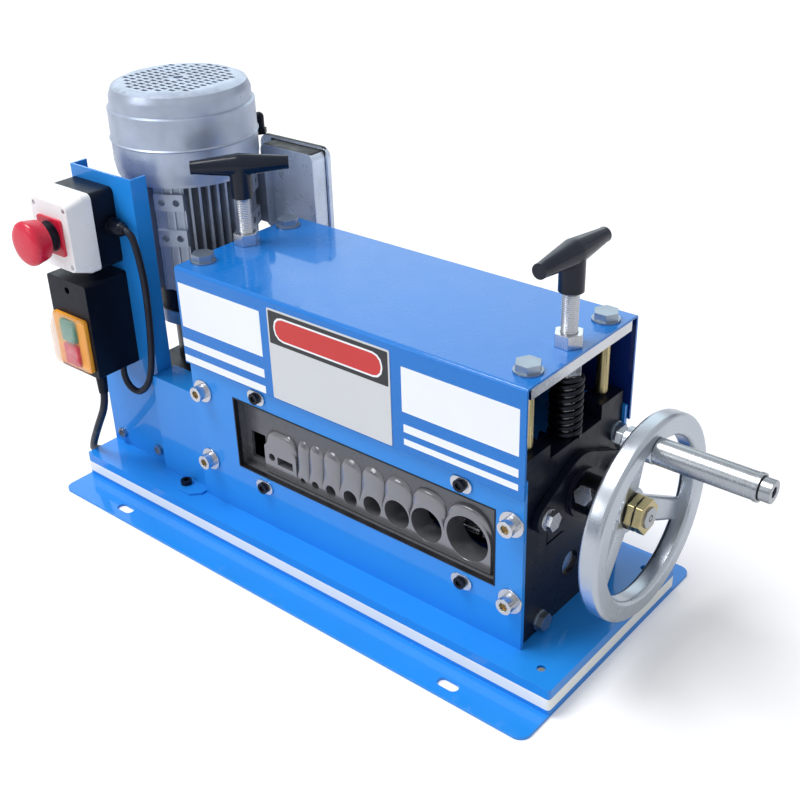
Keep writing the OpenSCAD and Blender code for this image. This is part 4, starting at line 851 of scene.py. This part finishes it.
def film(name, x, z, material, lift, corner_r):
    """A flat film on the cover's front skirt."""
    bm = slab((x[0], -COVER_Y - lift, z[0]), (x[1], -COVER_Y + FILM_SUNK, z[1]))
    corners = [e for e in bm.edges if abs((e.verts[0].co - e.verts[1].co).y) > 0.01]
    bevel(bm, corners, corner_r, 3)
    piece(name, bm, "machine", "white_plastic", material=material)


def tray_band():
    """A white line round the tray's upright sides."""
    bm = bmesh.new()
    corner = Vector((BASE_L / 2 + BAND_LIFT, BASE_D / 2 + BAND_LIFT))
    outline = rounded(-corner, corner, BAND_CORNER_R + BAND_LIFT, 6)
    rings = []
    for inset, z in BAND_LEVELS:
        near_x, near_y = 1 - inset / (BASE_L / 2), 1 - inset / (BASE_D / 2)
        rings.append([bm.verts.new((x * near_x, y * near_y, z)) for x, y in outline])
    for low, high in zip(rings, rings[1:]):
        skin(bm, low, high)
    bmesh.ops.recalc_face_normals(bm, faces=bm.faces)
    piece("tray_band", bm, "machine", "white_plastic", material=FILM_BAND)


for name, row in FILMS.items():
    film(name, *row)
tray_band()


# Wire guide: the middle and width of each channel, the window round them, and the hoods before the wall

CHANNELS = [(-1.5, 5.5), (12.5, 7.5), (29.5, 10.5), (50.5, 14), (73.5, 18), (98.5, 24.5), (127.5, 29.5),
            (165.5, 38)]
CHANNEL_Z, FOOT_Z, WALL_Y, MOUTH_Y, TUNNEL_Y = 77, 73.8, -55.6, -59.7, -40
WINDOW_X0, WINDOW_X1, WINDOW_Z0, WINDOW_Z1 = -69, 196, 72.5, 139
WINDOW_NEAR_Y, WINDOW_FAR_Y, EDGING_W = -67.4, -63.2, 1.1
HOOD_Z0, HOOD_Z1, HOOD_ROWS, HOOD_STEPS = 111.5, 126.5, 9, 32
ARCH_OVER, ARCH_POWER = 1.8, 0.9
LIP, TUNNEL_SHARE = 0.5, 0.98
FIRST_MARGIN, LAST_MARGIN = 3.75, 2.2

# The cell at the left, and the place, size and foot of its round and its flat hole
SIDE_X0, SIDE_GAP, SIDE_ARCH, SIDE_HOOD_Z = -44.3, 0.3, (96, 5, 0.45), 114.5
SMALL_HOLE = (-36, 7, CHANNEL_Z + 9)
FLAT_HOLE = (-21, 17.5, CHANNEL_Z + 7.5, 7.5)


def hood_curve(x0, x1, spring_z, rise, power):
    """The arch over a channel from right to left, and how high each of its points lies, from 0 to 1."""
    a = (x1 - x0) / 2
    curve, heights = [], []
    for k in range(HOOD_STEPS + 1):
        t = math.pi * k / HOOD_STEPS
        c, height = math.cos(t), abs(math.sin(t))
        curve.append((x0 + a + a * math.copysign(abs(c) ** power, c), spring_z + rise * height ** power))
        heights.append(height)
    return curve, heights


def tunnel(bm, outline):
    """A hole's lip and its tunnel into the guide; gives the edges of its mouth."""
    count = len(outline)
    middle = [sum(place[i] for place in outline) / count for i in (0, 1)]
    inner = [[m + TUNNEL_SHARE * (v - m) for m, v in zip(middle, place)] for place in outline]
    near = [bm.verts.new((x, MOUTH_Y, z)) for x, z in outline]
    lip = [bm.verts.new((x, MOUTH_Y + LIP, z)) for x, z in inner]
    far = [bm.verts.new((x, TUNNEL_Y, z)) for x, z in inner]
    skin(bm, near, lip)
    skin(bm, lip, far)
    return [bm.edges.get((near[k], near[(k + 1) % count])) for k in range(count)]


def mouth(bm, x0, x1, arch, holes, hood_top):
    """One cell of the guide: a flat front with its holes, and a rounded hood that leans back over it."""
    curve, heights = hood_curve(x0, x1, *arch)
    outer = [bm.verts.new((x, MOUTH_Y, z)) for x, z in [(x1, FOOT_Z), *curve, (x0, FOOT_Z)]]
    foot = [bm.verts.new((x, WALL_Y, FOOT_Z)) for x in (x1, x0)]
    rows = [outer[1:-1]]
    for j in range(1, HOOD_ROWS + 1):
        f = j / HOOD_ROWS
        row = []
        for (x, z), height in zip(curve, heights):
            top = hood_top - (x1 - x0) / 2 * (1 - height)
            side = 1 + (height ** 0.8 - 1) * min(4 * f, 1)
            out = side * math.sqrt(1 - f ** 3)
            row.append(bm.verts.new((x, WALL_Y + (MOUTH_Y - WALL_Y) * out, z + (top - z) * f)))
        rows.append(row)
    for near, far in zip(rows, rows[1:]):
        for k in range(HOOD_STEPS):
            bm.faces.new((near[k], near[k + 1], far[k + 1], far[k]))
    bm.faces.new((outer[0], *(row[0] for row in rows), foot[0]))
    bm.faces.new((outer[-1], foot[1], *(row[-1] for row in rows[::-1])))
    edges = [bm.edges.get((p, q)) or bm.edges.new((p, q)) for p, q in zip(outer, outer[1:] + outer[:1])]
    for outline in holes:
        edges += tunnel(bm, outline)
    bmesh.ops.triangle_fill(bm, edges=edges, use_beauty=True, use_dissolve=False, normal=(0, -1, 0))


def round_hole(x, d, z, steps=40):
    return [(x + d / 2 * math.cos(math.tau * k / steps), z + d / 2 * (1 + math.sin(math.tau * k / steps)))
            for k in range(steps)]


def flat_hole(x, w, z, h):
    return rounded((x - w / 2, z), (x + w / 2, z + h), 0.6, 3)


def guide_mouths():
    """The cells side by side, under hoods that rise towards the wheel, and the cell at their left."""
    bm = bmesh.new()
    (first_x, first_d), (last_x, last_d) = CHANNELS[0], CHANNELS[-1]
    bounds = [first_x - first_d / 2 - FIRST_MARGIN]
    for (x, d), (next_x, next_d) in zip(CHANNELS, CHANNELS[1:]):
        bounds.append((x + d / 2 + next_x - next_d / 2) / 2)
    bounds.append(last_x + last_d / 2 + LAST_MARGIN)
    for (x, d), x0, x1 in zip(CHANNELS, bounds, bounds[1:]):
        arch = (CHANNEL_Z + d / 2, d / 2 + ARCH_OVER, ARCH_POWER)
        top = HOOD_Z0 + (HOOD_Z1 - HOOD_Z0) * (x - WINDOW_X0) / (WINDOW_X1 - WINDOW_X0)
        mouth(bm, x0, x1, arch, [round_hole(x, d, CHANNEL_Z)], top)
    mouth(bm, SIDE_X0, bounds[0] - SIDE_GAP, SIDE_ARCH, [round_hole(*SMALL_HOLE), flat_hole(*FLAT_HOLE)],
          SIDE_HOOD_Z)
    bmesh.ops.remove_doubles(bm, verts=bm.verts, dist=0.0005)
    bmesh.ops.recalc_face_normals(bm, faces=bm.faces)
    front = max((f for f in bm.faces if abs(f.normal.y) > 0.99), key=lambda f: f.calc_area())
    if front.normal.y > 0:
        bmesh.ops.reverse_faces(bm, faces=bm.faces)
    # The hoods take the lighter copy of the guide's grey: painted light.
    piece("guide_mouths", bm, "machine", "moulded_grey", material=GUIDE_GREY_LIT, sharp=40)


def window_edge():
    """A thin black edging round the window, through the front plate's thickness."""
    x0, x1, z0, z1, w = WINDOW_X0, WINDOW_X1, WINDOW_Z0, WINDOW_Z1, EDGING_W
    strips = [slab((low_x, WINDOW_NEAR_Y, low_z), (high_x, WINDOW_FAR_Y, high_z))
              for low_x, high_x, low_z, high_z in (
                  (x0, x1, z0, z0 + w), (x0, x1, z1 - w, z1),
                  (x0, x0 + w, z0 + w, z1 - w), (x1 - w, x1, z0 + w, z1 - w))]
    piece("window_edging", joined(*strips), "machine", "black_plastic", material=DARK_RUBBER_AND_SHADE)


guide_mouths()
window_edge()


# Sockets and cross-heads

PLATE_BOLTS_X, PLATE_BOLTS_Z, SOCKET_Y = (-105, 210), (66, 133), -71.7
SOCKET = [(0, 0), (2.9, 0), (3.1, 0.2), (3.1, 3.4), (2.7, 3.4), (2.6, 0.3), (0, 0.3)]
CAP_SCREW = [(0, -0.5), (2.1, -0.5), (2.1, 0.2), (1.7, 0.55), (0, 0.7)]
CAP_SCREW_X, CAP_SCREW_Y, CAP_SCREW_Z = 20, STOP_FACE_Y + 1.2, 24.5
CROSS_L, CROSS_W, CROSS_Y0, CROSS_Y1 = 1.4, 0.22, STOP_FACE_Y + 0.42, STOP_FACE_Y + 0.7


def plate_bolt_sockets():
    """Gilt linings at the bottom of the front plate's bolts."""
    parts = [revolved(SOCKET, (x, SOCKET_Y, z), "-Y", 12) for x in PLATE_BOLTS_X for z in PLATE_BOLTS_Z]
    piece("plate_bolt_sockets", joined(*parts), "machine", "bright_steel", material=GOLD)


def cap_screws():
    """Cross-head screws sunk in the stop box's cap."""
    parts = []
    for x in (STOP_X - CAP_SCREW_X, STOP_X + CAP_SCREW_X):
        for z in (STOP_Z - CAP_SCREW_Z, STOP_Z + CAP_SCREW_Z):
            parts.append(revolved(CAP_SCREW, (x, CAP_SCREW_Y, z), "-Y", 16))
            for w, h in ((CROSS_L, CROSS_W), (CROSS_W, CROSS_L)):
                parts.append(slab((x - w, CROSS_Y0, z - h), (x + w, CROSS_Y1, z + h)))
    piece("cap_screws", joined(*parts), "machine", "bright_steel")


plate_bolt_sockets()
cap_screws()


# Hand wheel, crank rings and lock nuts

SHAFT_AT = (0, 0, CUTTER_Z)
CRANK_ANGLE, CRANK_R = 95, 59
RIM_X0, RIM_X1, RIM_R0, RIM_R1, RIM_EDGE = 267.7, 282.7, 61, 77, 3.6
HUB_X0, HUB_X1, HUB_R0, HUB_R1, HUB_EDGE = 244.7, 264.7, 10.1, 17, 1.2
BOSS_X0, BOSS_R = 259, 10

# An arm at the hub and at the rim: distance from the axis, place along it, and width
ARM_HUB, ARM_RIM = (14, 260.2, 21), (64, 269.2, 17)
ARM_T, ARM_EDGE = 9, 3.2

SLEEVE_GAPS = {"sleeve_gap_inner": (282.75, 9.0), "sleeve_gap_outer": (355.8, 8.6)}
GAP_R, GAP_T = 4, 0.45
LOCK_NUTS_X, LOCK_NUT_AF, LOCK_NUT_TURN = ((265.3, 270.9), (271.7, 278)), 24, 10
NUT_JOINTS, NUT_JOINT_R, NUT_JOINT_T = ((264.6, 13.4), (270.85, 12.4)), 8, 0.9
CENTRE = [(0, 279.55), (2.2, 279.75), (2.6, 279.78), (2.6, 279.5), (0, 279.5)]


def arm(angle):
    """A rounded arm from the hub out to the rim, leaning outwards and wider at the hub."""
    bm = bmesh.new()
    bmesh.ops.create_cube(bm, size=1)
    for vert in bm.verts:
        r, x, w = (a + (b - a) * (vert.co.z + 0.5) for a, b in zip(ARM_HUB, ARM_RIM))
        vert.co = Vector((x + vert.co.x * ARM_T, vert.co.y * w, r))
    bevel(bm, [e for e in bm.edges if abs((e.verts[0].co - e.verts[1].co).z) > 1], ARM_EDGE, 4)
    turn_about_x(bm, angle - 90)
    bmesh.ops.translate(bm, vec=SHAFT_AT, verts=bm.verts)
    return bm


def ring(x0, x1, inner, outer, edge):
    """The closed outline of a ring about X, its four corners rounded."""
    outline = rounded((inner, x0), (outer, x1), edge, 4)
    return outline + outline[:1]


def flat_ring(x, inner, outer, thickness, centre):
    """A thin washer about X."""
    profile = [(inner, x), (outer, x), (outer, x + thickness), (inner, x + thickness), (inner, x)]
    return revolved(profile, centre, "X", 40)


def wheel():
    """The cast wheel: rim, hub, three leaning arms and the crank pin's boss; and its sleeve's joints."""
    t = math.radians(CRANK_ANGLE)
    crank_at = (0, CRANK_R * math.cos(t), CUTTER_Z + CRANK_R * math.sin(t))
    rim = revolved(ring(RIM_X0, RIM_X1, RIM_R0, RIM_R1, RIM_EDGE), SHAFT_AT, "X", 128)
    hub = revolved(ring(HUB_X0, HUB_X1, HUB_R0, HUB_R1, HUB_EDGE), SHAFT_AT, "X", 64)
    boss = revolved([(0, BOSS_X0), (BOSS_R - 1, BOSS_X0), (BOSS_R, BOSS_X0 + 1), (BOSS_R, RIM_X1 - 0.8),
                     (BOSS_R - 0.8, RIM_X1), (0, RIM_X1)], crank_at, "X", 40)
    arms = [arm(CRANK_ANGLE + turn) for turn in (0, 120, 240)]
    piece("hand_wheel_cast", joined(rim, hub, boss, *arms), "cutter_rotor", "chrome_plate", ["hand_wheel"],
          sharp=40)
    for name, (x, outer) in SLEEVE_GAPS.items():
        joint = flat_ring(x, GAP_R, outer, GAP_T, crank_at)
        piece(name, joint, "cutter_rotor", "black_steel", material=DARK_RUBBER_AND_SHADE)


def wheel_lock_nuts():
    """Two thin nuts, a dark joint behind each."""
    nuts = []
    corner_r = LOCK_NUT_AF / 2 / math.cos(math.pi / 6)
    for x0, x1 in LOCK_NUTS_X:
        bm = bmesh.new()
        bmesh.ops.create_cone(bm, cap_ends=True, segments=6, radius1=corner_r, radius2=corner_r,
                              depth=x1 - x0)
        bevel(bm, bm.edges[:], 0.7, 3)
        bmesh.ops.rotate(bm, cent=(0, 0, 0), matrix=Matrix.Rotation(math.pi / 2, 3, "Y"), verts=bm.verts)
        turn_about_x(bm, LOCK_NUT_TURN)
        bmesh.ops.translate(bm, vec=((x0 + x1) / 2, 0, CUTTER_Z), verts=bm.verts)
        nuts.append(bm)
    piece("lock_nuts", joined(*nuts), "cutter_rotor", "yellow_zinc", ["wheel_nuts"], sharp=14)
    joints = [flat_ring(x, NUT_JOINT_R, outer, NUT_JOINT_T, SHAFT_AT) for x, outer in NUT_JOINTS]
    piece("lock_nut_joints", joined(*joints), "cutter_rotor", "black_steel", material=DARK_RUBBER_AND_SHADE)


def shaft_end():
    """A dark disc on the shaft's end where its turning centre is: painted shade for the hole."""
    piece("shaft_centre_painted_shade", revolved(CENTRE, SHAFT_AT, "X", 24), "cutter_rotor", "black_steel", material=DARK_RUBBER_AND_SHADE)


wheel()
wheel_lock_nuts()
shaft_end()


# Stop button and terminal box

STOP_AT = (STOP_X, 0, STOP_Z)
BELL = [(0, 131.3), (12, 131.05), (16.5, 130.1), (18.6, 128.1), (19, 125.8), (18.2, 121.3), (17.2, 115.3),
        (16.8, 114.4), (16.2, 114.3), (14.6, 114.3), (14.4, 114.9), (14.2, 121.3), (0, 121.3)]
COLLAR = [(8.2, 103.6), (13.4, 103.6), (13.4, 104.6), (12.6, 105.2), (12.6, 112.6), (11.8, 113.2),
          (8.2, 113.2), (8.2, 103.6)]
JOINT_X0, JOINT_Y0, JOINT_Z0 = -176.5, LID_Y - 0.9, 216
JOINT_X1, JOINT_Y1, JOINT_Z1 = -110.5, LID_Y + 0.1, 295


def stop_head():
    """The mushroom: a deep bell with a hollow back, over a black collar on the plate."""
    piece("stop_mushroom_bell", revolved(BELL, STOP_AT, "-Y", 64), BODY_OF["stop_mushroom"], "red_plastic",
          ["stop_mushroom"], sharp=50)
    piece("stop_collar", revolved(COLLAR, STOP_AT, "-Y", 48), "machine", "black_plastic", sharp=50)


def lid_joint():
    """The dark joint between the terminal box and its lid."""
    bm = slab((JOINT_X0, JOINT_Y0, JOINT_Z0), (JOINT_X1, JOINT_Y1, JOINT_Z1), 0.3)
    piece("terminal_gasket", bm, "machine", "black_plastic", material=DARK_RUBBER_AND_SHADE)


stop_head()
lid_joint()
